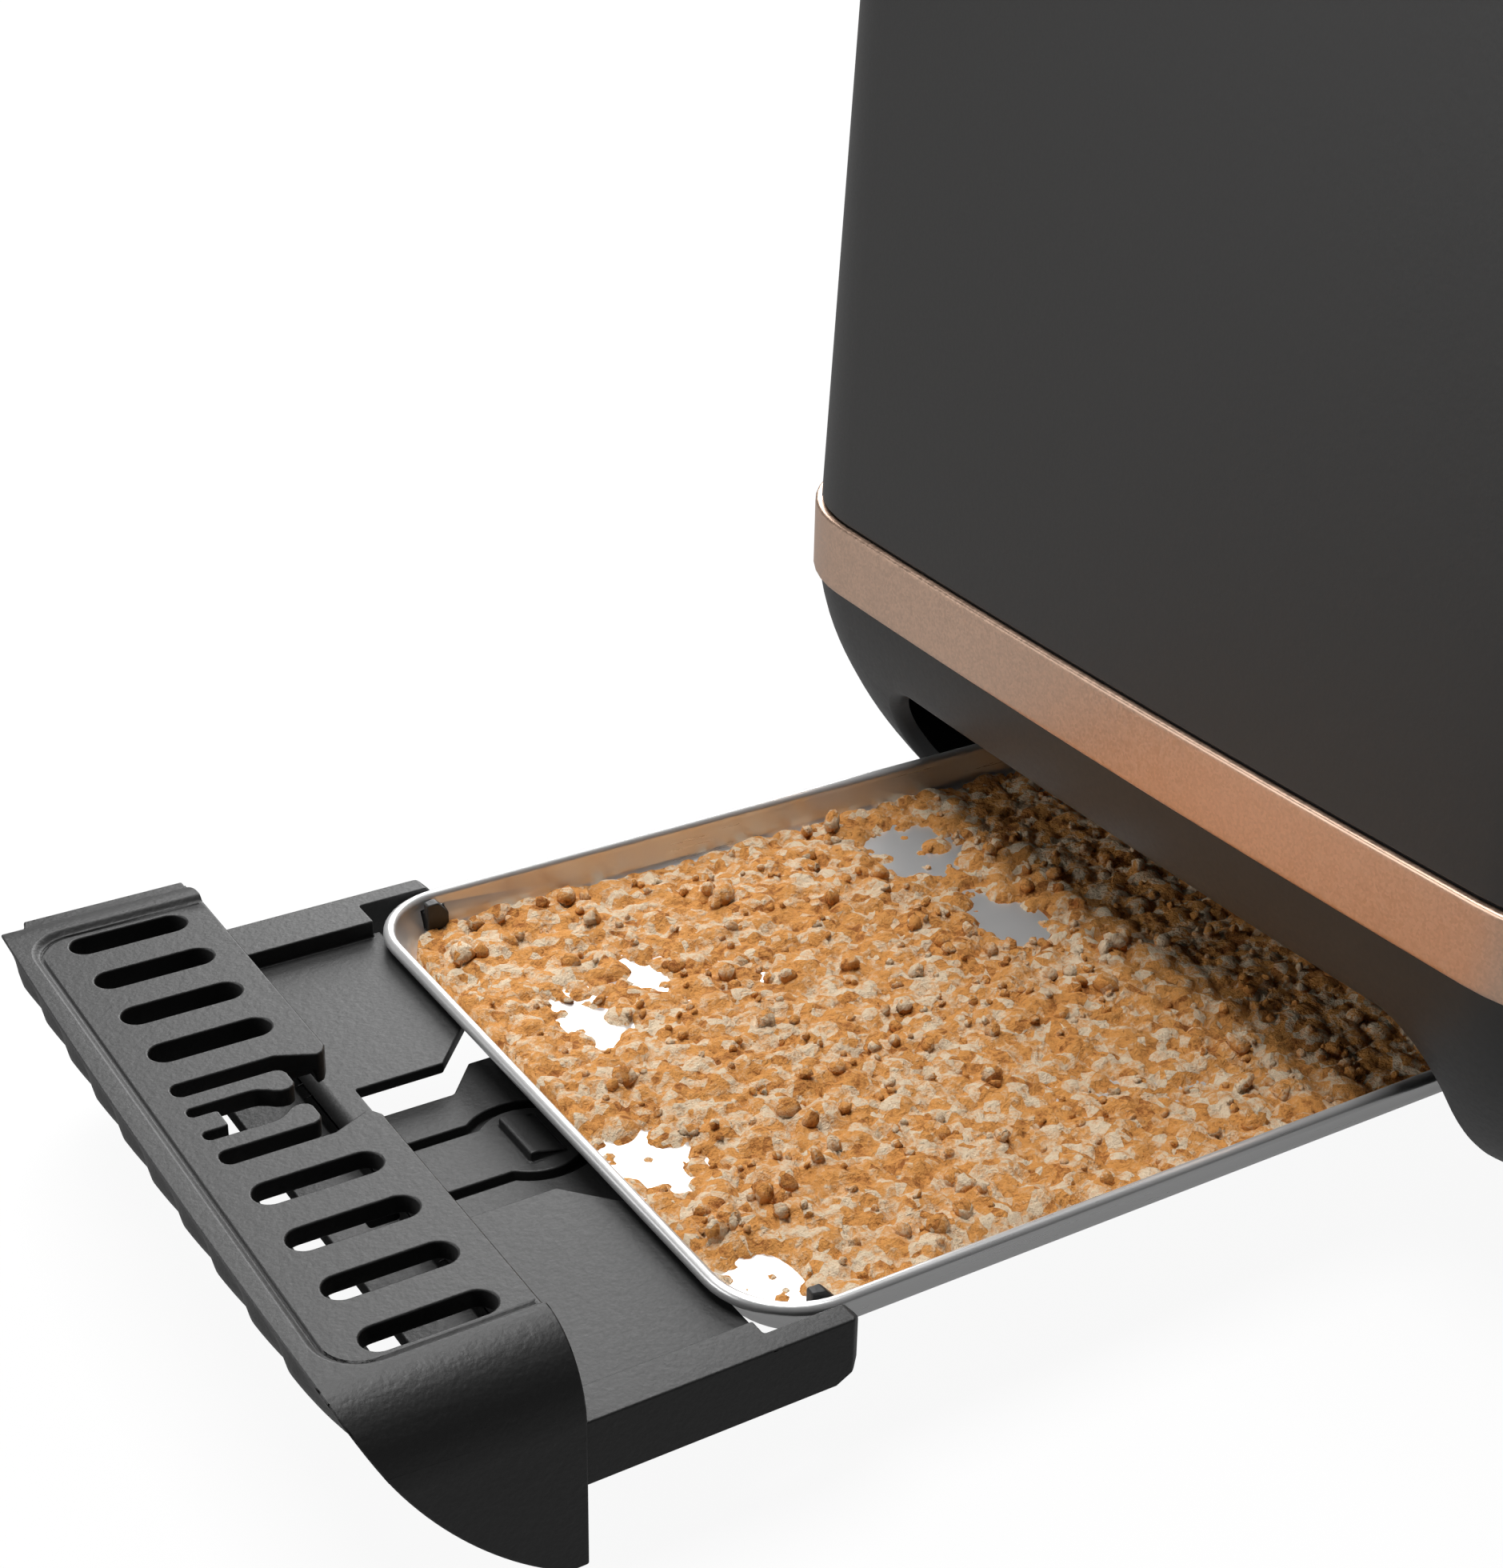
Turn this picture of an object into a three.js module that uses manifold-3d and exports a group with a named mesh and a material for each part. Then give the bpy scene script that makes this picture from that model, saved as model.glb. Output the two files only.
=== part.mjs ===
// Two-slice pop-up toaster with its crumb tray drawn half out.
// Millimetres, +Z up, standing on Z = 0. X runs along the housing: the crumb tray leaves through the
// -X end and the lever, dial and buttons are on the +X end. Y = 0 is the plane of symmetry.
import * as THREE from 'three';
import { mergeVertices } from 'three/addons/utils/BufferGeometryUtils.js';
import Module from 'manifold-3d';

const wasm = await Module();
wasm.setup();

// Clearances
const seatGap = 0.3; // between a piece and what it is fastened to or rests on
const slideGap = 0.7; // around a piece that slides
const trayGap = 0.8; // between the tray front and the edge of its opening

// Housing
const bodyLength = 282; // over the trim band
const bodyWidth = 190; // over the trim band
const bodyHeight = 190;
const planCorner = 26; // corner radius of the band in plan
const cornerShrink = 0.3; // taken off that radius by each millimetre inside the band
const sideBow = 1.2; // how far the middle of each side stands out
const shellInset = 0.8; // the shell stands back from the band by this
const shellWall = 1.8;
const shellTaper = 1.9; // degrees, each side
const shoulderRadius = 16;
const bandBottom = 46.5;
const bandHeight = 11.5;
const bandWall = 1.2;
const bandBevel = 0.5;
const neckHeight = 6; // spigot of the base that enters the shell
const baseBottom = 3; // underside of the base above the table
const baseInset = 0.9; // the base stands back from the band by this
const baseTuck = 35; // how far the base would curve in at full depth
const baseTuckHeight = 46;
const baseTuckPower = 1.6;
const baseWall = 2.2;
const baseFloorLift = 1.6;

// Bread slots, counted from the middle of the housing
const slotLength = 146;
const slotWidth = 36;
const slotSideRoom = 62; // from the middle of a bread slot to the side of the housing
const slotPitch = bodyWidth - 2 * slotSideRoom;
const slotCentre = -18;
const slotWall = 1.2;
const slotDepth = 13;
const slotCorner = 6;
const bezelMargin = 22; // past the ends of the slots, and inside the sides of the band
const bezelThickness = 1.6;
const bezelDrop = 0.8; // the slot trims stand proud of the bezel by this
const trimWidth = 2;

// Chassis
const chassisSheet = 1;
const chassisMargin = 5; // from the end of a bread slot to the chassis plate
const chassisDrop = 16; // of the plates' tops below the top of the housing
const chassisTop = bodyHeight - chassisDrop;
const chassisSideRoom = 31; // from the side of the housing
const chassisHalfWidth = bodyWidth / 2 - chassisSideRoom;
const shieldSheet = 0.8;
const boardThickness = 0.8;
const boardBottom = 40;
const boardDrop = 25;
const boardTop = bodyHeight - boardDrop;
const boardStandoff = 4; // from the edge of a bread slot to its heater board
const elementPasses = 10;
const elementWidth = 2;
const elementThickness = 0.4;
const elementMargin = 9;

// Bread guides
const guideWire = 1.8;
const guideStep = 19.6; // between upright wires
const guideBottom = 50;
const guideDrop = 30;
const guideTop = bodyHeight - guideDrop;
const guideFlare = 8;
const guideTravel = 8;

// Lift carriage
const leverDrop = 40;
const leverHeight = bodyHeight - leverDrop; // centre of the lever with the carriage up
const leverLow = 75; // centre of the lever with the carriage down
const leverTravel = leverHeight - leverLow;
const leverArmWidth = 3;
const leverArmHeight = 8;
const knobWidth = 46;
const knobHeight = 13;
const knobDepth = 18;
const rackDrop = 73;
const rackHeight = bodyHeight - rackDrop; // underside of the bread racks with the carriage up
const rackRise = 5;
const rackWidth = 14;
const rackSpine = 3;
const rackRungs = 9;
const bracketSheet = 2;
const bracketHalfSpan = 39;
const stemHalfWidth = 9;
const rodDistance = 18; // from the chassis plate to the guide rod
const rodRadius = 3;
const rodDrop = 14;
const rodTop = bodyHeight - rodDrop;
const bushWall = 3;
const bushHeight = 20;
const tabBottom = 30; // lower rod bracket
const tabDrop = 19;
const tabTop = bodyHeight - tabDrop; // underside of the upper rod bracket
const tabThickness = 1.2;
const springRadius = 4;
const springWire = 1;
const springTurns = 6;
const springOffset = 16; // beside the guide rod
const magnetSize = 18;
const magnetHeight = 22;
const armatureThickness = 2.5;

// Controls
const boardSetback = 10; // from the inside of the shell to the control board
const controlBoardThickness = 1.6;
const controlSideRoom = 29; // from the side of the housing to the control board
const controlHalfWidth = bodyWidth / 2 - controlSideRoom;
const controlRise = 19.5; // of the board above the underside of the band
const controlBottom = bandBottom + controlRise;
const controlDrop = 28;
const controlTop = bodyHeight - controlDrop;
const controlMargin = 20; // from the side of the board to the dial and the buttons
const dialOffset = controlHalfWidth - controlMargin;
const dialRise = 30; // above the bottom of the board
const dialHeight = controlBottom + dialRise;
const dialRadius = 16;
const dialDepth = 13;
const dialShaftRadius = 3;
const dialRingWidth = 2.6;
const dialRingDepth = 1.4;
const buttonOffset = controlHalfWidth - controlMargin;
const buttonRise = 9;
const buttonFirst = controlBottom + buttonRise; // lowest button
const buttonPitch = 21;
const buttonRadius = 6.5;
const buttonReach = 3;
const buttonFlange = 1.8;
const buttonFlangeThickness = 1.2;
const switchDepth = 9; // from the outside of the shell to the face of a switch
const dialGrips = 12; // flutes round the dial

// Crumb tray
const rimHeight = 21.5; // top of the pan's rolled rim
const panEndRoom = 86;
const panLength = bodyLength - panEndRoom;
const panDepth = 6.5;
const panWall = 0.8;
const panCorner = 12;
const panDraft = 0.9; // how far each wall leans in
const rimRadius = 0.9;
const beadTurn = 80; // degrees of the bead that the inside follows
const trayDrawn = 145; // how far the tray is out
const trayFaceToRim = 57; // from the closed housing end to the front of the pan
const traySideRoom = 35; // from the side of the housing to the side of the tray front
const frontHalfWidth = bodyWidth / 2 - traySideRoom;
const panSideMargin = 5; // from the side of the tray front to the side of the pan
const panWidth = 2 * (frontHalfWidth - panSideMargin);
const frontTop = 32.8;
const frontShoulderWidth = 9;
const frontShoulderHeight = 10.3;
const frontWall = 2.2;
const frontSideWall = 1.2;
const faceBottom = 8; // lower edge of the sloping face, between the two end walls
const faceEndRoom = 3; // from the outside of an end wall to that edge
const frontTopWall = 2.6;
const frontBack = 25.3; // from the back edge of the tray front to the pan
const recessDepth = 0.8;
const recessSideMargin = 10.7;
const recessHalfWidth = frontHalfWidth - recessSideMargin;
const recessMargin = 3.8; // from the front edge to the recess
const recessCorner = 5;
const lipDrop = 4.4;
const lipThickness = 1.8;
const gripLength = 15.9;
const gripWidth = 4.4;
const gripCount = 4; // on each side of the latch
const gripFirst = 16.8;
const gripSideMargin = 2.9;
const gripPitch = (recessHalfWidth - gripFirst - gripSideMargin) / (gripCount - 1);
const gripSetback = 3.8; // from the back edge to the end of a grip slot
const ribWidth = 5.2;
const ribProud = 1.1;
const ribCount = 10;
const ribTop = 31;
const ribBottom = 9;
const latchHalfWidth = 9.4;
const latchSetback = 6.4;
const latchLength = 13.7;
const throatHalfWidth = 7.1;
const throatLength = 1.6;
const fingerWidth = 2.8;
const fingerGap = 1.85;
const bulbLength = 4.4;
const bulbRise = 1.9;
const tabReach = 3.5;
const tabHalfWidth = 1.8;

// Tray frame
const armSideGap = 1.5; // from the side of the tray front
const armWidth = 7.5;
const armOuter = frontHalfWidth - armSideGap;
const armInner = armOuter - armWidth;
const armFront = 36; // under the tray front, from the front of the pan
const armHeight = 8.8;
const armReach = 11.2; // beside the pan
const armChamfer = 1.6;
const armNoseDrop = 1.2; // bevels of the arm's end, seen from the side
const armNoseRun = 3.6;
const armNoseRise = 2;
const plateDrop = 2.7; // raised plate below the rim
const plateThickness = 1.7;
const bridgeFront = 23.2;
const bridgeWidth = 4.6;
const windowHalfWidth = 16;
const windowFlare = 6.1;
const lowerDrop = 6.8;
const lowerFront = 32.3;
const lowerHalfWidth = 14.3;
const lowerFlare = 20; // half width under the pan
const lowerBack = 11;
const tongueHalfWidth = 5.15;
const tongueGroove = 1.8;
const tongueDisc = 7.2;
const tongueCentre = 1.4; // disc centre in front of the pan
const tongueRoot = 27;
const wedgeHalfWidth = 4.6;
const wedgeLength = 5.2;
const wedgeEnd = 1.4;
const wedgeFlat = 1.2;
const wedgeRise = 1.4;
const lugLength = 3.4;
const lugSetback = 8.1;
const lugReach = 4.4; // into the pan from its side
const lugInner = panWidth / 2 - lugReach;
const lugFlat = 1.7;
const lugDrop = 2.1; // of its cross-piece below the rim
const lugHeight = 2.5;

// Runners, base plate, feet and fasteners
const plateSheet = 2.5;
const runnerUnder = 8; // reach of the runner under the pan
const runnerInner = panWidth / 2 - runnerUnder;
const runnerRib = 2;
const runnerFlange = 1.4;
const runnerTop = 24;
const runnerOuter = frontHalfWidth + slideGap;
const runnerWeb = 1.5;
const footRadius = 8;
const footPeg = 3;
const footEndRoom = 57;
const footX = bodyLength / 2 - footEndRoom;
const footInset = 7; // of a foot and a screw to each side of the runner's inner edge
const footY = runnerInner - footInset;
const screwSpacing = 22;
const screwX = footX - screwSpacing;
const screwY = runnerInner + footInset;
const screwRadius = 1.8;
const screwHead = 3.6;
const screwHeadHeight = 1.6;
const screwLength = 8;
const ventCount = 5;
const ventPitch = 20;
const ventWidth = 4;
const ventLength = 26;
const glandEndRoom = 49;
const glandX = bodyLength / 2 - glandEndRoom;
const glandHeight = 25;
const glandRadius = 6;
const glandBore = 3.6;
const glandFlange = 9;
const glandFlangeThickness = 2;

// Finish of each kind of surface
const finish = (color, roughness, metalness) =>
  new THREE.MeshStandardMaterial({ color, roughness, metalness });
const blackPaint = () => finish(0x2c2c2e, 0.6, 0.1);
const blackPlastic = () => finish(0x1f1f21, 0.5, 0);
const trayPlastic = () => finish(0x3a3a3c, 0.62, 0);
const roseGold = () => finish(0xb4917a, 0.35, 0.9);
const polishedSteel = () => finish(0xc8cacc, 0.18, 1);
const plainSteel = () => finish(0x9a9c9e, 0.4, 0.9);
const mica = () => finish(0xb7ab94, 0.7, 0);
const nichrome = () => finish(0x6e665f, 0.45, 0.8);
const rubber = () => finish(0x161616, 0.85, 0);
const circuitGreen = () => finish(0x2f5a3a, 0.5, 0);
const copper = () => finish(0xa8643a, 0.4, 0.8);

// Solids: geometry to manifold and back
function solid(geometry) {
  const bare = geometry.clone();
  bare.deleteAttribute('normal');
  bare.deleteAttribute('uv');
  const merged = mergeVertices(bare, 1e-4);
  const corners = merged.index.array;
  const faces = [];
  for (let i = 0; i < corners.length; i += 3) {
    const [a, b, c] = corners.slice(i, i + 3);
    if (a !== b && b !== c && c !== a) faces.push(a, b, c);
  }
  return new wasm.Manifold(new wasm.Mesh({
    numProp: 3,
    vertProperties: new Float32Array(merged.attributes.position.array),
    triVerts: new Uint32Array(faces),
  }));
}

function pieceOf(name, body, material) {
  const cut = body.asOriginal().simplify(0.02).getMesh();
  const geometry = new THREE.BufferGeometry();
  geometry.setAttribute('position', new THREE.BufferAttribute(new Float32Array(cut.vertProperties), 3));
  geometry.setIndex(new THREE.BufferAttribute(new Uint32Array(cut.triVerts), 1));
  geometry.computeVertexNormals();
  const mesh = new THREE.Mesh(geometry, material);
  mesh.name = name;
  return mesh;
}

const join = (bodies) => bodies.reduce((whole, next) => whole.add(next));
const mirrored = (body) => body.add(body.mirror([0, 1, 0]));

function box(x0, x1, y0, y1, z0, z1) {
  const geometry = new THREE.BoxGeometry(x1 - x0, y1 - y0, z1 - z0);
  geometry.translate((x0 + x1) / 2, (y0 + y1) / 2, (z0 + z1) / 2);
  return solid(geometry);
}

// An outline carried along one axis. Outline coordinates are (x, y) along Z, (y, z) along X and
// (x, z) along Y.
const extrusion = (shape, depth) =>
  new THREE.ExtrudeGeometry(shape, { depth, bevelEnabled: false });

function alongZ(shape, z0, z1) {
  return solid(extrusion(shape, z1 - z0).translate(0, 0, z0));
}

function alongX(shape, x0, x1) {
  const turn = new THREE.Matrix4().makeBasis(
    new THREE.Vector3(0, 1, 0), new THREE.Vector3(0, 0, 1), new THREE.Vector3(1, 0, 0));
  return solid(extrusion(shape, x1 - x0).applyMatrix4(turn).translate(x0, 0, 0));
}

function alongY(shape, y0, y1) {
  const turn = new THREE.Matrix4().makeBasis(
    new THREE.Vector3(1, 0, 0), new THREE.Vector3(0, 0, 1), new THREE.Vector3(0, -1, 0));
  return solid(extrusion(shape, y1 - y0).applyMatrix4(turn).translate(0, y1, 0));
}

function outline(points) {
  const shape = new THREE.Shape();
  shape.setFromPoints(points.map(([x, y]) => new THREE.Vector2(x, y)));
  return shape;
}

function roundedRectangle(x0, x1, y0, y1, radius) {
  const r = Math.min(radius, (x1 - x0) / 2, (y1 - y0) / 2);
  const steps = r < 3 ? 2 : r < 10 ? 3 : 6;
  const centres = [[x1 - r, y0 + r, -1], [x1 - r, y1 - r, 0], [x0 + r, y1 - r, 1], [x0 + r, y0 + r, 2]];
  return outline(centres.flatMap(([x, y, quarter]) => Array.from({ length: steps + 1 }, (_, i) => {
    const turn = (Math.PI / 2) * (quarter + i / steps);
    return [x + r * Math.cos(turn), y + r * Math.sin(turn)];
  })));
}

// A turned piece: profile of [radius, distance along the axis], closed on the axis or on itself
function turned(profile, axis, place, segments = 24) {
  const geometry = new THREE.LatheGeometry(profile.map(([r, d]) => new THREE.Vector2(r, d)), segments);
  if (axis === 'x') geometry.rotateZ(-Math.PI / 2);
  if (axis === 'z') geometry.rotateX(Math.PI / 2);
  geometry.translate(...place);
  return solid(geometry);
}

const rod = (radius, axis, place, length, segments = 24) =>
  turned([[0, 0], [radius, 0], [radius, length], [0, length]], axis, place, segments);

// A closed surface through rings of equal length, each ring convex and capped by a fan
function loft(rings) {
  const count = rings[0].length;
  const positions = rings.flat().flatMap((point) => point.toArray());
  const index = [];
  for (let level = 0; level < rings.length - 1; level += 1) {
    for (let i = 0; i < count; i += 1) {
      const a = level * count + i;
      const b = level * count + ((i + 1) % count);
      index.push(a, b, b + count, a, b + count, a + count);
    }
  }
  const top = (rings.length - 1) * count;
  for (let i = 1; i < count - 1; i += 1) {
    index.push(0, i + 1, i);
    index.push(top, top + i, top + i + 1);
  }
  const geometry = new THREE.BufferGeometry();
  geometry.setAttribute('position', new THREE.Float32BufferAttribute(positions, 3));
  geometry.setIndex(index);
  return solid(geometry);
}

// Housing surfaces
const radians = (degrees) => (degrees * Math.PI) / 180;
const lean = Math.tan(radians(shellTaper));
const bandTop = bandBottom + bandHeight;
const shellBottom = bandTop + seatGap;
const shellTop = bodyHeight - bezelDrop - bezelThickness - seatGap;
const shoulderStart = shellTop - shoulderRadius;
const shellInsetAt = (z) => shellInset + (z - shellBottom) * lean;
const flatHalfWidth = bodyWidth / 2 - planCorner; // of the bowed ends
const bowAt = (y) => sideBow * (y / flatHalfWidth) ** 2;
const endFace = (z, y = 0) => bodyLength / 2 - shellInsetAt(z) - bowAt(y); // outside of the shell

// How far the base stands inside the band at height z: a quarter of a superellipse
function tuck(z) {
  const share = Math.min(1, Math.max(0, (bandBottom - z) / baseTuckHeight));
  return baseInset + baseTuck * (1 - (1 - share ** baseTuckPower) ** (1 / baseTuckPower));
}

// Plan of the housing `inset` inside the band: four bowed sides joined by round corners
function planRing(inset, z) {
  const sideSteps = 3;
  const cornerSteps = 5;
  const corner = Math.max(1, planCorner - cornerShrink * inset);
  const halfLength = bodyLength / 2 - inset;
  const halfWidth = bodyWidth / 2 - inset;
  const endLean = Math.atan((2 * sideBow) / (halfWidth - corner));
  const sideLean = Math.atan((2 * sideBow) / (halfLength - corner));
  const centreX = halfLength - sideBow - corner * Math.cos(endLean);
  const centreY = halfWidth - sideBow - corner * Math.cos(sideLean);
  const endY = centreY + corner * Math.sin(endLean);
  const endX = centreX + corner * Math.sin(sideLean);
  const half = [];
  const bow = (t) => sideBow * (1 - t * t);
  for (let i = 0; i < sideSteps; i += 1) {
    const t = (2 * i) / sideSteps - 1;
    half.push([halfLength - sideBow + bow(t), t * endY]);
  }
  for (let i = 0; i < cornerSteps; i += 1) {
    const turn = endLean + ((Math.PI / 2 - endLean - sideLean) * i) / cornerSteps;
    half.push([centreX + corner * Math.cos(turn), centreY + corner * Math.sin(turn)]);
  }
  for (let i = 0; i < sideSteps; i += 1) {
    const t = 1 - (2 * i) / sideSteps;
    half.push([t * endX, halfWidth - sideBow + bow(t)]);
  }
  for (let i = 0; i < cornerSteps; i += 1) {
    const turn = Math.PI / 2 + sideLean + ((Math.PI / 2 - endLean - sideLean) * i) / cornerSteps;
    half.push([centreX * -1 + corner * Math.cos(turn), centreY + corner * Math.sin(turn)]);
  }
  return [...half, ...half.map(([x, y]) => [-x, -y])].map(([x, y]) => new THREE.Vector3(x, y, z));
}

const housingLoft = (levels) => loft(levels.map(([inset, z]) => planRing(inset, z)));

// Levels up the tapered shell and round its shoulder, `wall` inside the outer surface
function shellLevels(wall, bottom) {
  const shoulderSteps = 4;
  const levels = [[shellInsetAt(bottom) + wall, bottom]];
  for (let i = 0; i <= shoulderSteps; i += 1) {
    const turn = ((Math.PI / 2) * i) / shoulderSteps;
    const reach = shoulderRadius - wall;
    levels.push([
      shellInsetAt(shoulderStart) + shoulderRadius - reach * Math.cos(turn),
      shoulderStart + reach * Math.sin(turn),
    ]);
  }
  return levels;
}

// Levels up the tucked-in base; lift and wall give the inside surface
function baseLevels(lift, wall) {
  const steps = 5;
  const levels = [];
  for (let i = steps; i >= 0; i -= 1) {
    const z = bandBottom - (bandBottom - baseBottom) * Math.sin(((Math.PI / 2) * i) / steps);
    levels.push([tuck(z - lift) + wall, z]);
  }
  return levels;
}

// Places along the housing
const slotStart = slotCentre - slotLength / 2;
const slotEnd = slotCentre + slotLength / 2;
const slotRows = [-slotPitch / 2, slotPitch / 2];
const buttonHeights = [2, 1, 0].map((step) => buttonFirst + step * buttonPitch);
const chassisRear = slotStart - chassisMargin; // inner faces of the two chassis plates
const chassisFront = slotEnd + chassisMargin;
const runnerBottom = baseBottom + plateSheet + seatGap;
const rodX = chassisFront + chassisSheet + rodDistance;
const rimFront = -bodyLength / 2 - trayDrawn + trayFaceToRim; // front of the pan, tray drawn out
const frontBackX = rimFront - frontBack;
const armTravelEnd = rimFront + trayDrawn + armReach; // where the frame's arms end with the tray shut
const panFloor = rimHeight - panDepth;
const panelTop = frontTop - recessDepth;

// Arch that the tray front fills, seen along X, with elliptical shoulders
function archOutline(halfWidth, top, shoulderWidth, shoulderHeight, bottom) {
  const steps = 6;
  const points = [[-halfWidth, bottom], [halfWidth, bottom]];
  for (let i = 0; i <= steps; i += 1) {
    const turn = ((Math.PI / 2) * i) / steps;
    points.push([
      halfWidth - shoulderWidth + shoulderWidth * Math.cos(turn),
      top - shoulderHeight + shoulderHeight * Math.sin(turn),
    ]);
  }
  const left = points.slice(2).reverse().map(([y, z]) => [-y, z]);
  return outline([...points, ...left]);
}

const slotOutline = (row, grow) => roundedRectangle(
  slotStart - grow, slotEnd + grow,
  row - slotWidth / 2 - grow, row + slotWidth / 2 + grow, slotCorner + grow);

// Place of a control that stands square on the tapered, bowed +X end
function seatMatrix(y, z) {
  const turn = new THREE.Euler(0, -radians(shellTaper), Math.atan((2 * sideBow * y) / flatHalfWidth ** 2));
  return new THREE.Matrix4().makeRotationFromEuler(turn).setPosition(endFace(z, y), y, z);
}

const placed = (body, y, z) => body.transform(seatMatrix(y, z).elements);

// Housing pieces
const spigotWidth = 5; // bezel flange beyond the opening in the shell
const bezelOutline = (grow) => roundedRectangle(
  slotStart - bezelMargin + grow, slotEnd + bezelMargin - grow,
  -bodyWidth / 2 + bezelMargin + grow, bodyWidth / 2 - bezelMargin - grow,
  slotCorner + bezelMargin - grow);
const controlFace = endFace(controlTop) - shellWall - boardSetback; // front of the control board

function outerShell() {
  const hollow = housingLoft([[shellInset + shellWall, shellBottom - 1], ...shellLevels(shellWall, shellBottom)]);
  const leverSlot = box(
    controlFace, bodyLength / 2, -leverArmWidth / 2 - slideGap, leverArmWidth / 2 + slideGap,
    leverHeight - leverTravel - leverArmHeight / 2 - slideGap, leverHeight + leverArmHeight / 2 + slideGap);
  const bosses = [];
  for (const y of [-controlHalfWidth + 7, controlHalfWidth - 7]) {
    for (const z of [controlBottom + 7, controlTop - 7]) {
      const start = controlFace + seatGap;
      bosses.push(rod(3.5, 'x', [start, y, z], endFace(z, y) - shellWall / 2 - start, 8));
    }
  }
  const holes = [
    leverSlot,
    alongZ(bezelOutline(spigotWidth), shellTop - shoulderRadius, shellTop + 1),
    placed(rod(dialShaftRadius + slideGap, 'x', [-shellWall * 2, 0, 0], shellWall * 4), dialOffset, dialHeight),
    ...buttonHeights.map((z) => placed(
      rod(buttonRadius + slideGap / 2, 'x', [-shellWall * 2, 0, 0], shellWall * 4), -buttonOffset, z)),
  ];
  return housingLoft(shellLevels(0, shellBottom)).subtract(hollow).add(join(bosses)).subtract(join(holes));
}

function trimBand() {
  const outer = housingLoft([
    [bandBevel, bandBottom], [0, bandBottom + bandBevel], [0, bandTop - bandBevel], [bandBevel, bandTop]]);
  return outer.subtract(housingLoft([[bandWall, bandBottom - 1], [bandWall, bandTop + 1]]));
}

function baseShell() {
  const neckInset = bandWall + seatGap;
  const spigotInset = shellInset + shellWall + 2 * seatGap;
  const neckInside = spigotInset + shellWall;
  const skirt = housingLoft(baseLevels(0, 0));
  const neck = housingLoft([
    [neckInset, bandBottom - 2], [neckInset, bandTop],
    [spigotInset, bandTop], [spigotInset, bandTop + neckHeight]]);
  const hollow = housingLoft([[baseLevels(baseFloorLift, baseWall)[0][0], baseBottom - 1],
    ...baseLevels(baseFloorLift, baseWall)]);
  const neckHollow = housingLoft([
    [neckInside, bandBottom - 2 * baseWall], [neckInside, bandTop + neckHeight + 1]]);
  const arch = alongX(
    archOutline(frontHalfWidth + trayGap, frontTop + trayGap, frontShoulderWidth, frontShoulderHeight, 0),
    -bodyLength / 2 - 1, frontBackX + trayDrawn + trayGap);
  const padFace = glandPadFace();
  const pad = rod(glandFlange + 2, 'y', [glandX, padFace - 8, glandHeight], 8, 16);
  const spotFace = rod(glandFlange + 1, 'y', [glandX, padFace, glandHeight], 20, 16);
  const glandHole = rod(glandRadius + seatGap, 'y', [glandX, padFace - 20, glandHeight], 40, 12);
  return skirt.add(neck).subtract(hollow).subtract(neckHollow)
    .add(pad).subtract(join([arch, spotFace, glandHole]));
}

const glandPadFace = () => bodyWidth / 2 - tuck(glandHeight) - sideBow / 2;

function cordGland() {
  const face = glandPadFace() + seatGap;
  return turned([
    [glandBore, -10], [glandRadius, -10], [glandRadius, 0], [glandFlange, 0],
    [glandFlange, glandFlangeThickness], [glandRadius + 0.5, glandFlangeThickness + 5],
    [glandBore, glandFlangeThickness + 5], [glandBore, -10],
  ], 'y', [glandX, face, glandHeight], 16);
}

function topBezel() {
  const top = bodyHeight - bezelDrop;
  const bottom = top - bezelThickness;
  const flange = alongZ(bezelOutline(0), bottom, top);
  const spigot = alongZ(bezelOutline(spigotWidth + seatGap), bottom - 5, bottom)
    .subtract(alongZ(bezelOutline(spigotWidth + seatGap + slotWall), bottom - 6, bottom));
  const collars = join(slotRows.map((row) => alongZ(slotOutline(row, slotWall), bottom - slotDepth, bottom)));
  const mouths = join(slotRows.map((row) => alongZ(slotOutline(row, 0), bottom - slotDepth - 1, top + 1)));
  const grooves = join(slotRows.map((row) => alongZ(
    slotOutline(row, trimWidth + seatGap), top - bezelThickness / 2, top + 1)));
  return flange.add(spigot).add(collars).subtract(mouths).subtract(grooves);
}

function slotTrim(row) {
  const floor = bodyHeight - bezelDrop - bezelThickness / 2 + seatGap;
  return alongZ(slotOutline(row, trimWidth), floor, bodyHeight)
    .subtract(alongZ(slotOutline(row, 0), floor - 1, bodyHeight + 1));
}

// Base plate and what stands on it
const footPlaces = [[-footX, -footY], [footX, -footY], [-footX, footY], [footX, footY]];
const screwPlaces = [[-screwX, -screwY], [screwX, -screwY], [-screwX, screwY], [screwX, screwY]];
const plateInset = baseLevels(baseFloorLift, baseWall)[0][0] + seatGap;

function basePlate() {
  const top = baseBottom + plateSheet;
  const sheet = housingLoft([[plateInset, baseBottom], [plateInset, top]]);
  const holes = [];
  for (const [x, y] of footPlaces) {
    holes.push(rod(footPeg + seatGap, 'z', [x, y, 0], top + 1, 10));
  }
  for (const [x, y] of screwPlaces) {
    holes.push(rod(screwRadius + seatGap, 'z', [x, y, 0], top + 1, 8));
    holes.push(rod(screwHead + seatGap, 'z', [x, y, 0], baseBottom + screwHeadHeight + seatGap, 10));
  }
  for (let i = 0; i < ventCount; i += 1) {
    const x = (i - (ventCount - 1) / 2) * ventPitch;
    holes.push(alongZ(roundedRectangle(
      x - ventWidth / 2, x + ventWidth / 2, -ventLength / 2, ventLength / 2, ventWidth / 2), 0, top + 1));
  }
  return sheet.subtract(join(holes));
}

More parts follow.
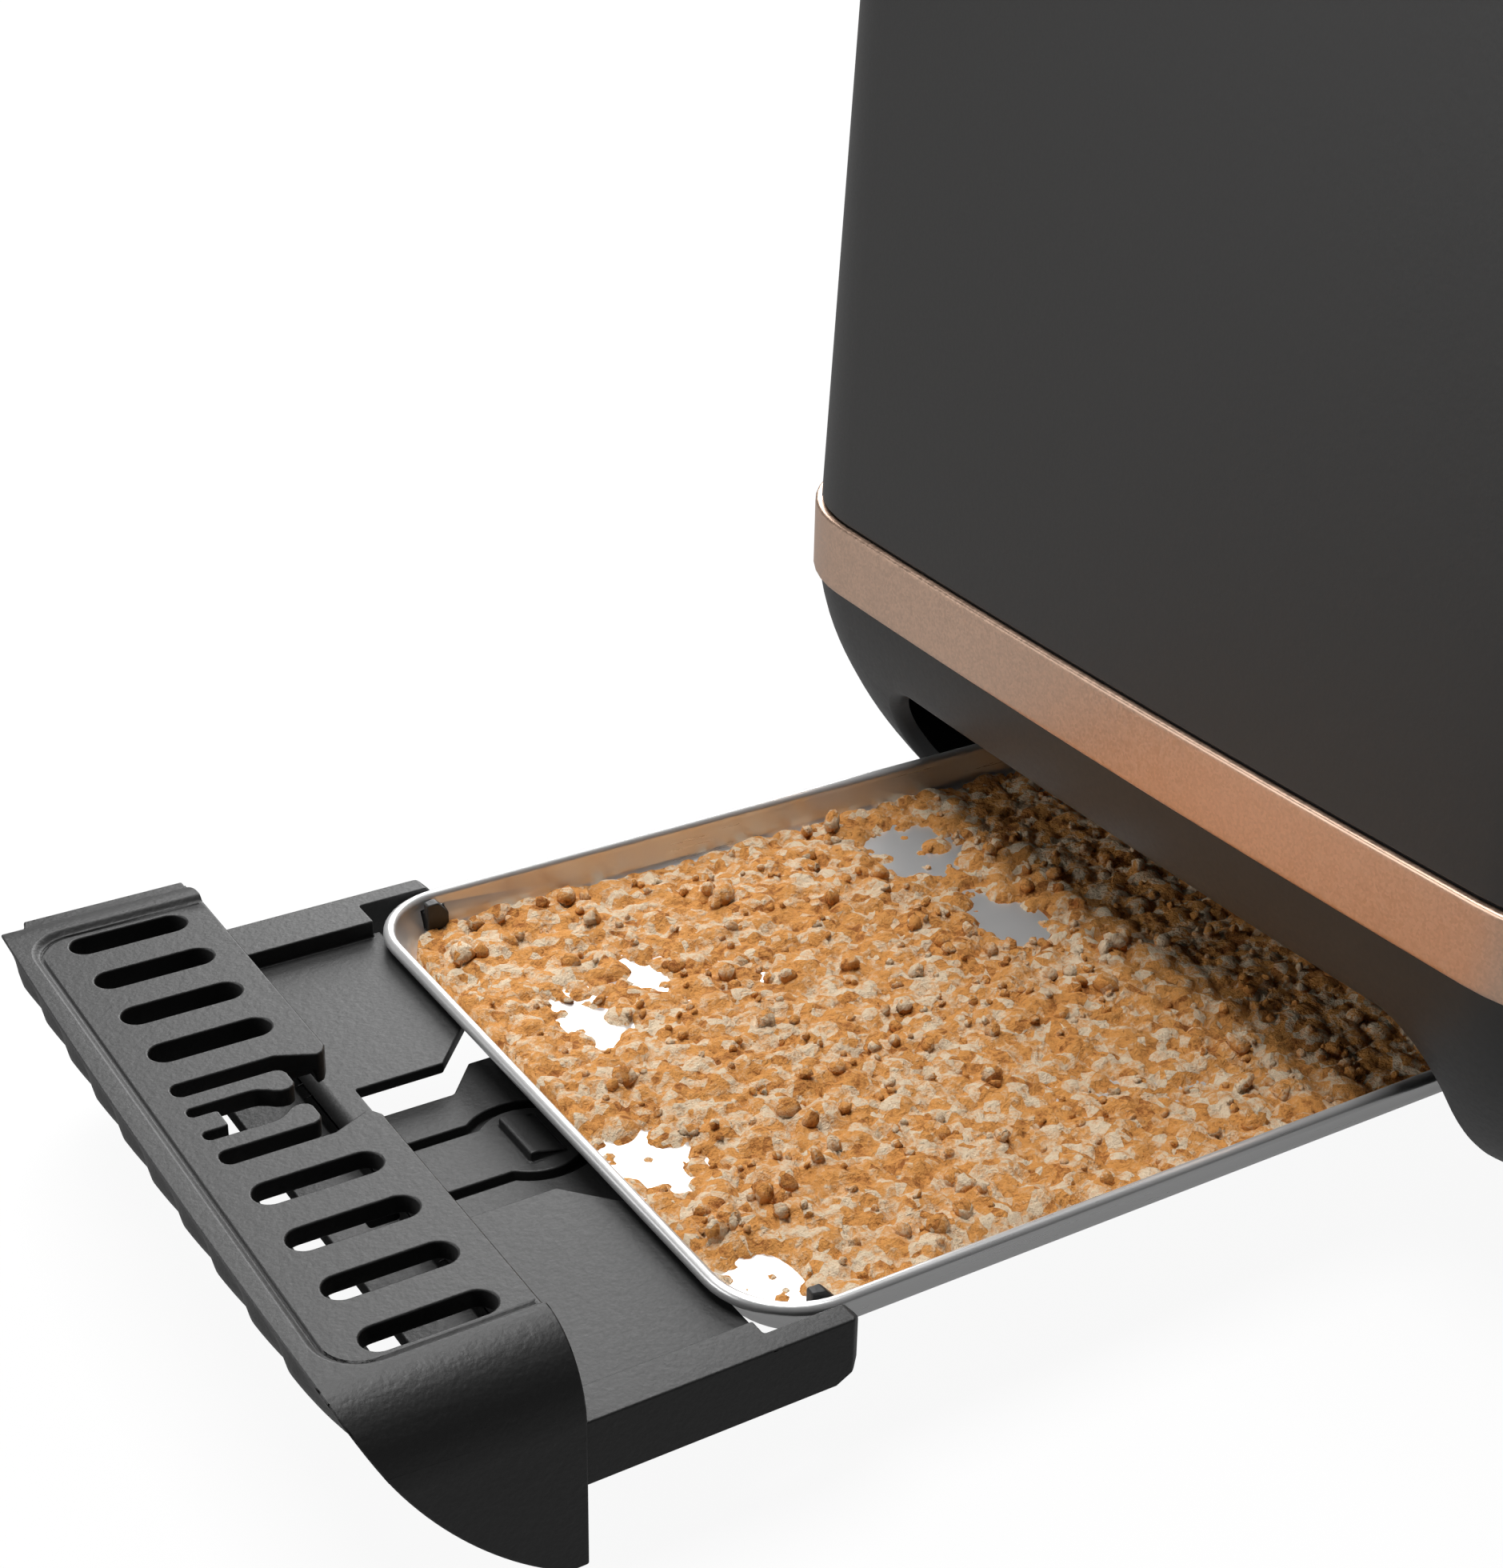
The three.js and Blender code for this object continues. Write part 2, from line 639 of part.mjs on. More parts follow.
function foot([x, y]) {
  const padTop = baseBottom - seatGap;
  return turned([
    [0, 0], [footRadius - 1, 0], [footRadius, 1], [footRadius, padTop], [footPeg, padTop],
    [footPeg, baseBottom + plateSheet + 1.5], [0, baseBottom + plateSheet + 1.5],
  ], 'z', [x, y, 0], 12);
}

function baseScrew([x, y]) {
  return turned([
    [0, 0], [screwHead, 0], [screwHead, screwHeadHeight], [screwRadius, screwHeadHeight],
    [screwRadius, screwLength], [0, screwLength],
  ], 'z', [x, y, baseBottom], 10);
}

// Runner beside the tray: a rib under the tray, a web that guides it, and screw bosses
function trayRunner(side) {
  const back = -bodyLength / 2 + plateInset + 2;
  const front = bodyLength / 2 - plateInset - 2;
  const shelf = panFloor - seatGap;
  const frameShelf = rimHeight - armHeight - seatGap;
  const guideInside = panWidth / 2 + slideGap;
  const rib = box(back, front, runnerInner, runnerInner + runnerRib, runnerBottom, shelf)
    .subtract(box(back - 1, armTravelEnd + slideGap, 0, bodyWidth, frameShelf, shelf + 1));
  const flange = box(back, front, runnerInner, runnerOuter, runnerBottom, runnerBottom + runnerFlange);
  const web = box(back, front, runnerOuter - runnerWeb, runnerOuter, runnerBottom, runnerTop);
  const guide = box(
    armTravelEnd + slideGap, front, guideInside, runnerOuter, rimHeight - panDepth, rimHeight + 1);
  const bosses = [-screwX, screwX].map((x) => rod(
    screwHead, 'z', [x, screwY, runnerBottom], frameShelf - runnerBottom, 10));
  const bores = [-screwX, screwX].map((x) => rod(
    screwRadius + seatGap, 'z', [x, screwY, runnerBottom - 1], screwLength, 8));
  const left = join([rib, flange, web, guide, ...bosses]).subtract(join(bores));
  return side > 0 ? left : left.mirror([0, 1, 0]);
}

// Chassis: two end plates, with slots for the guides and the racks
const guideOuter = slotWidth / 2 - guideWire / 2 - 0.1; // from the middle of a bread slot, guides apart
const guideInner = guideOuter - guideTravel;
const guideOverrun = 1.5;
const tabReachX = rodX + rodRadius + 4;
const magnetX = rodX - magnetSize / 2;
const magnetY = rodRadius + 7;

function chassisPlate(inner, outer) {
  const x0 = Math.min(inner, outer);
  const x1 = Math.max(inner, outer);
  const holes = [];
  for (const row of slotRows) {
    const reach = rackSpine / 2 + slideGap;
    holes.push(box(x0 - 1, x1 + 1, row - reach, row + reach,
      rackHeight - leverTravel - slideGap, rackHeight + rackRise + slideGap));
    for (const side of [-1, 1]) {
      for (const z of [guideBottom, guideTop]) {
        const near = row + side * (guideInner - guideWire / 2 - slideGap);
        const far = row + side * (guideOuter + guideWire / 2 + seatGap);
        const half = guideWire / 2 + seatGap;
        holes.push(box(x0 - 1, x1 + 1, Math.min(near, far), Math.max(near, far), z - half, z + half));
      }
    }
  }
  return box(x0, x1, -chassisHalfWidth, chassisHalfWidth, runnerTop + seatGap, chassisTop)
    .subtract(join(holes));
}

function chassisFrontPlate() {
  const face = chassisFront + chassisSheet;
  const tab = (z) => box(face - chassisSheet / 2, tabReachX, -springOffset / 2, magnetY + magnetSize, z, z + tabThickness);
  const rodHole = rod(rodRadius + seatGap, 'z', [rodX, 0, 0], bodyHeight, 16);
  return chassisPlate(chassisFront, face).add(tab(tabBottom)).add(tab(tabTop)).subtract(rodHole);
}

function heatShield(side) {
  const inner = runnerOuter - runnerWeb;
  const left = box(chassisRear + seatGap, chassisFront - seatGap, inner, inner + shieldSheet,
    runnerTop + seatGap, chassisTop - 4);
  return side > 0 ? left : left.mirror([0, 1, 0]);
}

// Heater boards stand outside each bread guide, with their element on the side of the bread
const heaterPlaces = slotRows.flatMap((row) => [-1, 1].map((side) => ({ row, side })));
const heaterFace = slotWidth / 2 + boardStandoff;

function heaterBoard({ row, side }) {
  const near = row + side * heaterFace;
  const far = row + side * (heaterFace + boardThickness);
  return box(chassisRear + seatGap, chassisFront - seatGap,
    Math.min(near, far), Math.max(near, far), boardBottom, boardTop);
}

// One ribbon laid back and forth over the board
function heaterElement({ row, side }) {
  const face = heaterFace - seatGap;
  const near = row + side * face;
  const far = row + side * (face - elementThickness);
  const y0 = Math.min(near, far);
  const y1 = Math.max(near, far);
  const start = chassisRear + elementMargin;
  const end = chassisFront - elementMargin;
  const step = (boardTop - boardBottom - 2 * elementMargin) / (elementPasses - 1);
  const runs = [];
  for (let i = 0; i < elementPasses; i += 1) {
    const z = boardBottom + elementMargin + i * step;
    runs.push(box(start, end, y0, y1, z - elementWidth / 2, z + elementWidth / 2));
    if (i > 0) {
      const x = i % 2 ? end - elementWidth : start;
      runs.push(box(x, x + elementWidth, y0, y1, z - step, z));
    }
  }
  return join(runs);
}

// Bread guide: uprights with flared tops on two rails that run in slots of the chassis plates
function breadGuide({ row, side }) {
  const y = row + side * guideOuter;
  const half = guideWire / 2;
  const bars = [guideBottom, guideTop].map((z) => box(
    chassisRear - chassisSheet - guideOverrun, chassisFront + chassisSheet + guideOverrun,
    y - half, y + half, z - half, z + half));
  const uprights = [];
  const count = Math.floor((slotLength - 6) / guideStep) + 1;
  const profile = outline([
    [y - half, guideBottom - half], [y + half, guideBottom - half], [y + half, guideTop],
    [y + half + side * 2.5, guideTop + guideFlare], [y - half + side * 2.5, guideTop + guideFlare],
    [y - half, guideTop]]);
  for (let i = 0; i < count; i += 1) {
    const x = slotCentre + (i - (count - 1) / 2) * guideStep;
    uprights.push(alongX(profile, x - half, x + half));
  }
  return join([...bars, ...uprights]);
}

// Lift carriage
const crossX = chassisFront + chassisSheet + guideOverrun + slideGap;
const stemTop = leverHeight + bushHeight / 2;
const magnetTop = tabBottom + tabThickness + seatGap + magnetHeight;
const armatureBottom = magnetTop + leverTravel + seatGap;
const earBottom = armatureBottom + armatureThickness + seatGap;
const springBottom = earBottom + bracketSheet + seatGap;
const springTop = tabTop - seatGap;
const knobBack = endFace(leverHeight - leverTravel - knobHeight / 2) + slideGap;

function breadRack(row) {
  const start = chassisRear - chassisSheet - guideOverrun;
  const top = rackHeight + rackRise;
  const spine = box(start, crossX - seatGap, row - rackSpine / 2, row + rackSpine / 2, rackHeight, top);
  const rungs = [];
  for (let i = 0; i < rackRungs; i += 1) {
    const x = slotCentre + ((i - (rackRungs - 1) / 2) * (slotLength - 12)) / (rackRungs - 1);
    rungs.push(box(x - 1, x + 1, row - rackWidth / 2, row + rackWidth / 2, top - 2, top));
  }
  return join([spine, ...rungs]);
}

const guideRod = () => rod(
  rodRadius, 'z', [rodX, 0, tabBottom - 1], rodTop - tabBottom + 1, 20);

function holdMagnet() {
  const bottom = tabBottom + tabThickness + seatGap;
  return box(magnetX, magnetX + magnetSize, magnetY, magnetY + magnetSize, bottom, bottom + magnetHeight);
}

const armaturePlate = () => box(
  magnetX + 1, magnetX + magnetSize - 1, magnetY + 1, magnetY + magnetSize - 1,
  armatureBottom, armatureBottom + armatureThickness);

function carriageBracket() {
  const bushRadius = rodRadius + slideGap + bushWall;
  const cross = box(crossX, crossX + bracketSheet, -bracketHalfSpan, bracketHalfSpan,
    rackHeight - 1, rackHeight + rackRise + 1);
  const stem = box(crossX, crossX + bracketSheet, -stemHalfWidth, stemHalfWidth, rackHeight, stemTop);
  const web = box(crossX, rodX, -leverArmWidth / 2, leverArmWidth / 2, leverHeight - bushHeight / 2, stemTop);
  const bush = rod(bushRadius, 'z', [rodX, 0, leverHeight - bushHeight / 2], bushHeight, 20);
  const arm = box(rodX, knobBack + knobDepth / 2, -leverArmWidth / 2, leverArmWidth / 2,
    leverHeight - leverArmHeight / 2, leverHeight + leverArmHeight / 2);
  const ear = box(crossX, tabReachX, stemHalfWidth - 3, magnetY + magnetSize, earBottom, earBottom + bracketSheet);
  const bore = rod(rodRadius + slideGap / 2, 'z', [rodX, 0, 0], bodyHeight, 20);
  return join([cross, stem, web, bush, arm, ear]).subtract(bore);
}

function leverKnob() {
  const bevel = 2;
  const shape = roundedRectangle(
    -knobWidth / 2 + bevel, knobWidth / 2 - bevel, -knobHeight / 2 + bevel, knobHeight / 2 - bevel, knobHeight / 2);
  const geometry = new THREE.ExtrudeGeometry(shape, {
    depth: knobDepth - 2 * bevel, bevelSize: bevel, bevelThickness: bevel, bevelSegments: 2 });
  const turn = new THREE.Matrix4().makeBasis(
    new THREE.Vector3(0, 1, 0), new THREE.Vector3(0, 0, 1), new THREE.Vector3(1, 0, 0));
  geometry.applyMatrix4(turn).translate(knobBack + bevel, 0, leverHeight);
  const pocket = box(knobBack - 1, knobBack + knobDepth / 2 + seatGap,
    -leverArmWidth / 2 - seatGap, leverArmWidth / 2 + seatGap,
    leverHeight - leverArmHeight / 2 - seatGap, leverHeight + leverArmHeight / 2 + seatGap);
  return solid(geometry).subtract(pocket);
}

class Helix extends THREE.Curve {
  getPoint(t) {
    const turn = 2 * Math.PI * springTurns * t;
    const height = springBottom + springWire / 2 + (springTop - springBottom - springWire) * t;
    return new THREE.Vector3(
      rodX + springRadius * Math.cos(turn), springOffset + springRadius * Math.sin(turn), height);
  }
}

function liftSpring() {
  const wire = new THREE.Shape();
  wire.absarc(0, 0, springWire / 2, 0, 2 * Math.PI);
  return solid(new THREE.ExtrudeGeometry(wire, {
    extrudePath: new Helix(), steps: springTurns * 7, curveSegments: 3 }));
}

// Controls on the +X end
const boardFront = controlFace;
const boardBack = controlFace - controlBoardThickness;
const potDepth = endFace(dialHeight, dialOffset) - boardBack + 4; // middle of the dial's control
const potPlace = new THREE.Vector3(-potDepth, 0, 0).applyMatrix4(seatMatrix(dialOffset, dialHeight));

function controlBoard() {
  const armSlot = box(boardBack - 1, boardFront + 1, -leverArmWidth / 2 - slideGap, leverArmWidth / 2 + slideGap,
    leverHeight - leverTravel - leverArmHeight / 2 - slideGap, controlTop + 1);
  const sheet = box(boardBack, boardFront, -controlHalfWidth, controlHalfWidth, controlBottom, controlTop);
  const shaftHole = rod(dialShaftRadius + slideGap, 'x', [boardBack - 1, potPlace.y, potPlace.z], 4);
  const switches = buttonHeights.map((z) => box(boardBack - 0.5, endFace(z, buttonOffset) - switchDepth,
    -buttonOffset - buttonRadius + 1, -buttonOffset + buttonRadius - 1, z - buttonRadius + 1, z + buttonRadius - 1));
  return sheet.subtract(armSlot).subtract(shaftHole).add(join(switches));
}

function browningControl() {
  return turned([
    [dialShaftRadius + seatGap, -8], [dialRadius - 4, -8], [dialRadius - 4, -seatGap],
    [dialShaftRadius + seatGap, -seatGap], [dialShaftRadius + seatGap, -8],
  ], 'x', [boardBack, potPlace.y, potPlace.z], 16);
}

function browningDial() {
  const start = boardBack - 6 - endFace(dialHeight, dialOffset);
  const dial = turned([
    [0, start], [dialShaftRadius, start], [dialShaftRadius, seatGap], [dialRadius, seatGap],
    [dialRadius, dialDepth - 2], [dialRadius - 0.6, dialDepth - 0.6], [dialRadius - 2, dialDepth], [0, dialDepth],
  ], 'x', [0, 0, 0], 24);
  const pointer = box(dialDepth - 2, dialDepth + 1.2, -1.2, 1.2, 2, dialRadius - 3);
  const grips = [];
  for (let i = 0; i < dialGrips; i += 1) {
    const turn = (2 * Math.PI * i) / dialGrips;
    grips.push(rod(0.9, 'x', [3, dialRadius * Math.cos(turn), dialRadius * Math.sin(turn)], dialDepth, 6));
  }
  return placed(dial.subtract(join(grips)).add(pointer), dialOffset, dialHeight);
}

function dialRing() {
  const ring = turned([
    [dialRadius + slideGap, seatGap], [dialRadius + dialRingWidth + slideGap, seatGap],
    [dialRadius + dialRingWidth + slideGap, dialRingDepth], [dialRadius + slideGap, dialRingDepth],
    [dialRadius + slideGap, seatGap],
  ], 'x', [0, 0, 0], 24);
  return placed(ring, dialOffset, dialHeight);
}

function pushButton(z) {
  const behind = -shellWall - seatGap;
  const button = turned([
    [0, behind - buttonFlangeThickness], [buttonRadius + buttonFlange, behind - buttonFlangeThickness],
    [buttonRadius + buttonFlange, behind], [buttonRadius, behind], [buttonRadius, buttonReach - 0.8],
    [buttonRadius - 0.8, buttonReach], [0, buttonReach],
  ], 'x', [0, 0, 0], 18);
  return placed(button, -buttonOffset, z);
}

// Crumb tray: the tray front, the frame it clips to and the steel pan hooked into the frame
const trayX = (x) => rimFront + x; // x counted from the front of the pan
const faceAt = (y, z) => tuck(z) - bodyLength / 2 - trayDrawn + bowAt(y);

// Solid behind the sloping face, `depth` inside it
function faceBlock(depth, back, bottom, top) {
  const stations = 4;
  const steps = 6;
  const rings = [];
  for (let i = 0; i <= stations; i += 1) {
    const y = ((2 * i) / stations - 1) * (frontHalfWidth + 1);
    const ring = [];
    for (let j = 0; j <= steps; j += 1) {
      const z = bottom + (top - bottom) * (1 - Math.cos(((Math.PI / 2) * j) / steps));
      ring.push(new THREE.Vector3(faceAt(y, z) + depth, y, z));
    }
    ring.push(new THREE.Vector3(back, y, top), new THREE.Vector3(back, y, bottom));
    rings.push(ring);
  }
  return loft(rings);
}

function trayFront() {
  const back = frontBackX;
  const underside = panelTop - frontTopWall;
  const archStart = back - 4 * frontBack;
  const arch = (inset, bottom, x0, x1) => alongX(archOutline(
    frontHalfWidth - inset, inset ? underside : frontTop, frontShoulderWidth, frontShoulderHeight, bottom), x0, x1);
  const outside = faceBlock(0, back, baseBottom, frontTop)
    .intersect(arch(0, baseBottom, archStart, back + 1));
  const inside = faceBlock(frontWall, back + 2, baseBottom - 1, underside)
    .intersect(arch(frontSideWall, baseBottom - 2, archStart, back + 1));
  const faceEdge = box(archStart, back + 1, faceEndRoom - frontHalfWidth, frontHalfWidth - faceEndRoom,
    baseBottom - 1, faceBottom);
  const recessFront = faceAt(0, frontTop) + recessMargin;
  const recess = alongZ(roundedRectangle(
    recessFront, back + 20, -recessHalfWidth, recessHalfWidth, recessCorner), panelTop, frontTop + 1);
  const lip = box(back - lipThickness, back, -recessHalfWidth, recessHalfWidth, panelTop - lipDrop, panelTop);
  const grips = [];
  for (let i = 0; i < gripCount; i += 1) {
    const y = gripFirst + i * gripPitch;
    const end = back - gripSetback;
    grips.push(alongZ(roundedRectangle(
      end - gripLength, end, y - gripWidth / 2, y + gripWidth / 2, gripWidth / 2), underside - 1, frontTop + 1));
  }
  return outside.subtract(inside).subtract(faceEdge).subtract(recess).add(lip)
    .subtract(latchOpening()).subtract(mirrored(join(grips))).add(faceRibs())
    .add(latchFingers());
}

// Upright ribs on the sloping face
function faceRibs() {
  const ribs = [];
  for (let i = 0; i < ribCount; i += 1) {
    const y = (i - (ribCount - 1) / 2) * gripPitch;
    ribs.push(box(faceAt(0, ribTop) - 3, frontBackX - 5, y - ribWidth / 2, y + ribWidth / 2, ribBottom, ribTop));
  }
  const proud = faceBlock(-ribProud, frontBackX - 5, ribBottom, ribTop);
  return join(ribs).intersect(proud).subtract(faceBlock(frontWall / 2, frontBackX, ribBottom - 1, ribTop + 1));
}

const latchEnd = frontBackX - latchSetback; // wide end of the cut-out, towards the pan
const latchStart = latchEnd - latchLength;

function latchOpening() {
  const throat = frontBackX - throatLength;
  const half = [
    [latchStart, latchHalfWidth], [latchEnd, latchHalfWidth], [throat, throatHalfWidth],
    [throat + throatLength / 2, throatHalfWidth + 0.3], [frontBackX, throatHalfWidth + throatLength],
    [frontBackX + 1, throatHalfWidth + throatLength]];
  const other = [...half].reverse().map(([x, y]) => [x, -y]);
  return alongZ(outline([...half, ...other]), panelTop - lipDrop - 1, frontTop + 1);
}

// Two springy fingers with inward bulbs, and a short tab between them
function latchFingers() {
  const root = latchStart - 1;
  const tip = latchEnd;
  const inner = tabHalfWidth + fingerGap;
  const outer = inner + fingerWidth;
  const bulb = tip - bulbLength;
  const finger = outline([
    [root, inner], [bulb, inner], [bulb + 1.2, inner - bulbRise * 0.8], [bulb + 2.4, inner - bulbRise],
    [tip - 0.6, inner - bulbRise + 0.2], [tip, inner - bulbRise + 0.9], [tip, outer - 1], [tip - 1, outer],
    [root, outer]]);
  const shape = alongZ(finger, panelTop - frontTopWall, panelTop);
  const tab = box(root, latchStart + tabReach, -tabHalfWidth, tabHalfWidth, panelTop - frontTopWall, panelTop);
  return mirrored(shape).add(tab);
}

function trayFrame() {
  const top = rimHeight;
  const bottom = rimHeight - armHeight;
  const notch = panWidth / 2 + seatGap;
  const edge = 0.7;
  const arm = alongX(outline([
    [armInner, bottom], [armOuter, bottom], [armOuter, top - edge], [armOuter - edge, top],
    [armInner + edge, top], [armInner, top - edge]]), trayX(-armFront), trayX(-seatGap));
  const prong = alongZ(outline([
    [trayX(-2), notch], [trayX(armReach - armChamfer / 2), notch], [trayX(armReach), notch + armChamfer / 2],
    [trayX(armReach), armOuter - armChamfer], [trayX(armReach - armChamfer), armOuter],
    [trayX(-2), armOuter]]), bottom, top).intersect(alongY(outline([
    [trayX(-3), bottom], [trayX(armReach - armNoseRun), bottom], [trayX(armReach), bottom + armNoseRise],
    [trayX(armReach), top - armNoseDrop], [trayX(armReach - armNoseDrop), top], [trayX(-3), top]]),
    0, armOuter + 1));
  const plateTop = top - plateDrop;
  const raised = alongZ(outline([
    [trayX(-bridgeFront), -1], [trayX(bridgeWidth - bridgeFront), -1],
    [trayX(bridgeWidth - bridgeFront), windowHalfWidth], [trayX(-windowFlare), windowHalfWidth],
    [trayX(-0.7), windowHalfWidth + windowFlare], [trayX(-seatGap), windowHalfWidth + windowFlare],
    [trayX(-seatGap), armInner + 1], [trayX(-bridgeFront), armInner + 1]]), plateTop - plateThickness, plateTop);
  const lowerTop = top - lowerDrop;
  const lower = alongZ(outline([
    [trayX(-lowerFront), -1], [trayX(lowerBack), -1], [trayX(lowerBack), lowerFlare], [trayX(-0.6), lowerFlare],
    [trayX(-5.5), lowerHalfWidth], [trayX(-17), lowerHalfWidth], [trayX(-17), armInner + 1],
    [trayX(-lowerFront), armInner + 1]]), bottom, lowerTop);
  const stay = box(trayX(-bridgeFront), trayX(-17.5), armInner - 6, armInner + 1, lowerTop - 1, plateTop - 1);
  const bridgePost = box(trayX(-bridgeFront), trayX(bridgeWidth - bridgeFront), 20, 23, lowerTop - 1, plateTop - 1);
  const grooveRadius = tongueDisc + tongueGroove;
  const centre = trayX(-tongueCentre);
  const outerCut = rod(grooveRadius, 'z', [centre, 0, bottom - 1], 4, 36).add(box(
    trayX(-tongueRoot), centre, -tongueHalfWidth - tongueGroove, tongueHalfWidth + tongueGroove, bottom - 1, lowerTop + 1));
  const tongue = rod(tongueDisc, 'z', [centre, 0, bottom - 2], 6, 36).add(box(
    trayX(-tongueRoot) - 1, centre, -tongueHalfWidth, tongueHalfWidth, bottom - 2, lowerTop + 2));
  const wedge = alongY(outline([
    [trayX(wedgeEnd - wedgeLength), lowerTop - 0.5], [trayX(wedgeEnd), lowerTop - 0.5], [trayX(wedgeEnd), lowerTop],
    [trayX(wedgeEnd - wedgeLength + wedgeFlat), lowerTop + wedgeRise],
    [trayX(wedgeEnd - wedgeLength), lowerTop + wedgeRise]]), -wedgeHalfWidth, wedgeHalfWidth);
  const lugBottom = top - lugDrop - lugHeight;
  const lug = box(trayX(lugSetback), trayX(lugSetback + lugLength), lugInner + 1, notch + 1, lugBottom, top - lugDrop);
  const hook = alongY(outline([
    [trayX(lugSetback), lugBottom], [trayX(lugSetback + lugLength), lugBottom],
    [trayX(lugSetback + lugLength), top - lugDrop], [trayX(lugSetback + lugFlat), top - 0.2],
    [trayX(lugSetback), top - 0.2]]), lugInner, panWidth / 2).intersect(alongZ(outline([
    [trayX(lugSetback), lugInner], [trayX(lugSetback + lugLength), lugInner],
    [trayX(lugSetback + lugLength), lugInner + 2.2], [trayX(lugSetback), lugInner + 1.4]]), 0, top));
  const side = join([arm, prong, raised, lower, stay, bridgePost, lug, hook]);
  return mirrored(side).subtract(outerCut.subtract(tongue)).add(wedge);
}

function crumbPan() {
  const ring = (inset, z) => {
    const cornerSteps = 5;
    const radius = panCorner - inset;
    const x0 = trayX(panCorner);
    const x1 = trayX(panLength - panCorner);
    const y = panWidth / 2 - panCorner;
    const centres = [[x1, -y, -1], [x1, y, 0], [x0, y, 1], [x0, -y, 2]];
    return centres.flatMap(([cx, cy, quarter]) => Array.from({ length: cornerSteps + 1 }, (_, i) => {
      const turn = (Math.PI / 2) * (quarter + i / cornerSteps);
      return new THREE.Vector3(cx + radius * Math.cos(turn), cy + radius * Math.sin(turn), z);
    }));
  };
  const arc = (from, to, count, place) => Array.from({ length: count + 1 }, (_, i) =>
    place(radians(from + ((to - from) * i) / count)));
  const wallInset = 2 * rimRadius - panWall;
  const beadBottom = rimHeight - 2 * rimRadius;
  const outerBend = 2.5;
  const innerBend = outerBend - panWall;
  const outer = [
    ...arc(0, 90, 2, (turn) => [
      wallInset + panDraft + outerBend * (1 - Math.sin(turn)), panFloor + outerBend * (1 - Math.cos(turn))]),
    [wallInset, beadBottom],
    ...arc(-90, 90, 4, (turn) => [rimRadius * (1 - Math.cos(turn)), rimHeight - rimRadius * (1 - Math.sin(turn))]),
  ];
  const inset = wallInset + panWall;
  const inner = [
    ...arc(0, 90, 2, (turn) => [
      inset + panDraft + innerBend * (1 - Math.sin(turn)), panFloor + panWall + innerBend * (1 - Math.cos(turn))]),
    ...arc(0, beadTurn, 2, (turn) => [rimRadius * (1 + Math.cos(turn)), rimHeight - rimRadius * (1 - Math.sin(turn))]),
    [rimRadius * (1 + Math.cos(radians(beadTurn))), rimHeight + 1],
  ];
  const window = box(trayX(lugSetback - seatGap), trayX(lugSetback + lugLength + seatGap),
    lugInner, panWidth / 2 + 1, rimHeight - lugDrop - lugHeight - seatGap, rimHeight - lugDrop + seatGap);
  return loft(outer.map(([i, z]) => ring(i, z))).subtract(loft(inner.map(([i, z]) => ring(i, z))))
    .subtract(mirrored(window));
}

// Assembly
const pieces = [
  pieceOf('outer_shell', outerShell(), blackPaint()),
  pieceOf('trim_band', trimBand(), roseGold()),
  pieceOf('base_shell', baseShell(), blackPlastic()),
  pieceOf('top_bezel', topBezel(), blackPlastic()),
  pieceOf('slot_trim_right', slotTrim(slotRows[0]), roseGold()),
  pieceOf('slot_trim_left', slotTrim(slotRows[1]), roseGold()),
  pieceOf('base_plate', basePlate(), plainSteel()),
  ...footPlaces.map((place, i) => pieceOf(`foot_${i + 1}`, foot(place), rubber())),
  ...screwPlaces.map((place, i) => pieceOf(`base_screw_${i + 1}`, baseScrew(place), plainSteel())),
  pieceOf('cord_gland', cordGland(), blackPlastic()),
  pieceOf('chassis_front', chassisFrontPlate(), plainSteel()),
  pieceOf('chassis_rear', chassisPlate(chassisRear, chassisRear - chassisSheet), plainSteel()),
  pieceOf('heat_shield_right', heatShield(-1), plainSteel()),
  pieceOf('heat_shield_left', heatShield(1), plainSteel()),
  ...heaterPlaces.map((place, i) => pieceOf(`heater_board_${i + 1}`, heaterBoard(place), mica())),
  ...heaterPlaces.map((place, i) => pieceOf(`heater_element_${i + 1}`, heaterElement(place), nichrome())),
  pieceOf('tray_runner_right', trayRunner(-1), blackPlastic()),
  pieceOf('tray_runner_left', trayRunner(1), blackPlastic()),
  pieceOf('guide_rod', guideRod(), polishedSteel()),
  pieceOf('lift_spring', liftSpring(), plainSteel()),
  pieceOf('hold_magnet', holdMagnet(), copper()),
  pieceOf('control_board', controlBoard(), circuitGreen()),
  pieceOf('browning_control', browningControl(), blackPlastic()),
  pieceOf('dial_ring', dialRing(), roseGold()),
  pieceOf('browning_dial', browningDial(), blackPlastic()),
  ...['cancel_button', 'defrost_button', 'reheat_button'].map((name, i) =>
    pieceOf(name, pushButton(buttonHeights[i]), blackPlastic())),
  pieceOf('carriage_bracket', carriageBracket(), plainSteel()),
  pieceOf('bread_rack_right', breadRack(slotRows[0]), plainSteel()),
  pieceOf('bread_rack_left', breadRack(slotRows[1]), plainSteel()),
  pieceOf('armature_plate', armaturePlate(), plainSteel()),
  pieceOf('lever_knob', leverKnob(), blackPlastic()),
  ...heaterPlaces.map((place, i) => pieceOf(`bread_guide_${i + 1}`, breadGuide(place), polishedSteel())),
  pieceOf('crumb_pan', crumbPan(), polishedSteel()),
  pieceOf('tray_frame', trayFrame(), trayPlastic()),
  pieceOf('tray_front', trayFront(), trayPlastic()),
];

// The part stands with the middle of its length over the origin
const whole = new THREE.Group();
whole.name = 'pop_up_toaster';
whole.add(...pieces);
const span = new THREE.Box3().setFromObject(whole);
for (const piece of pieces) piece.geometry.translate(-(span.min.x + span.max.x) / 2, 0, 0);

export default whole;
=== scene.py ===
import math

import bmesh
import bpy
import numpy as np
from mathutils import Matrix, Vector


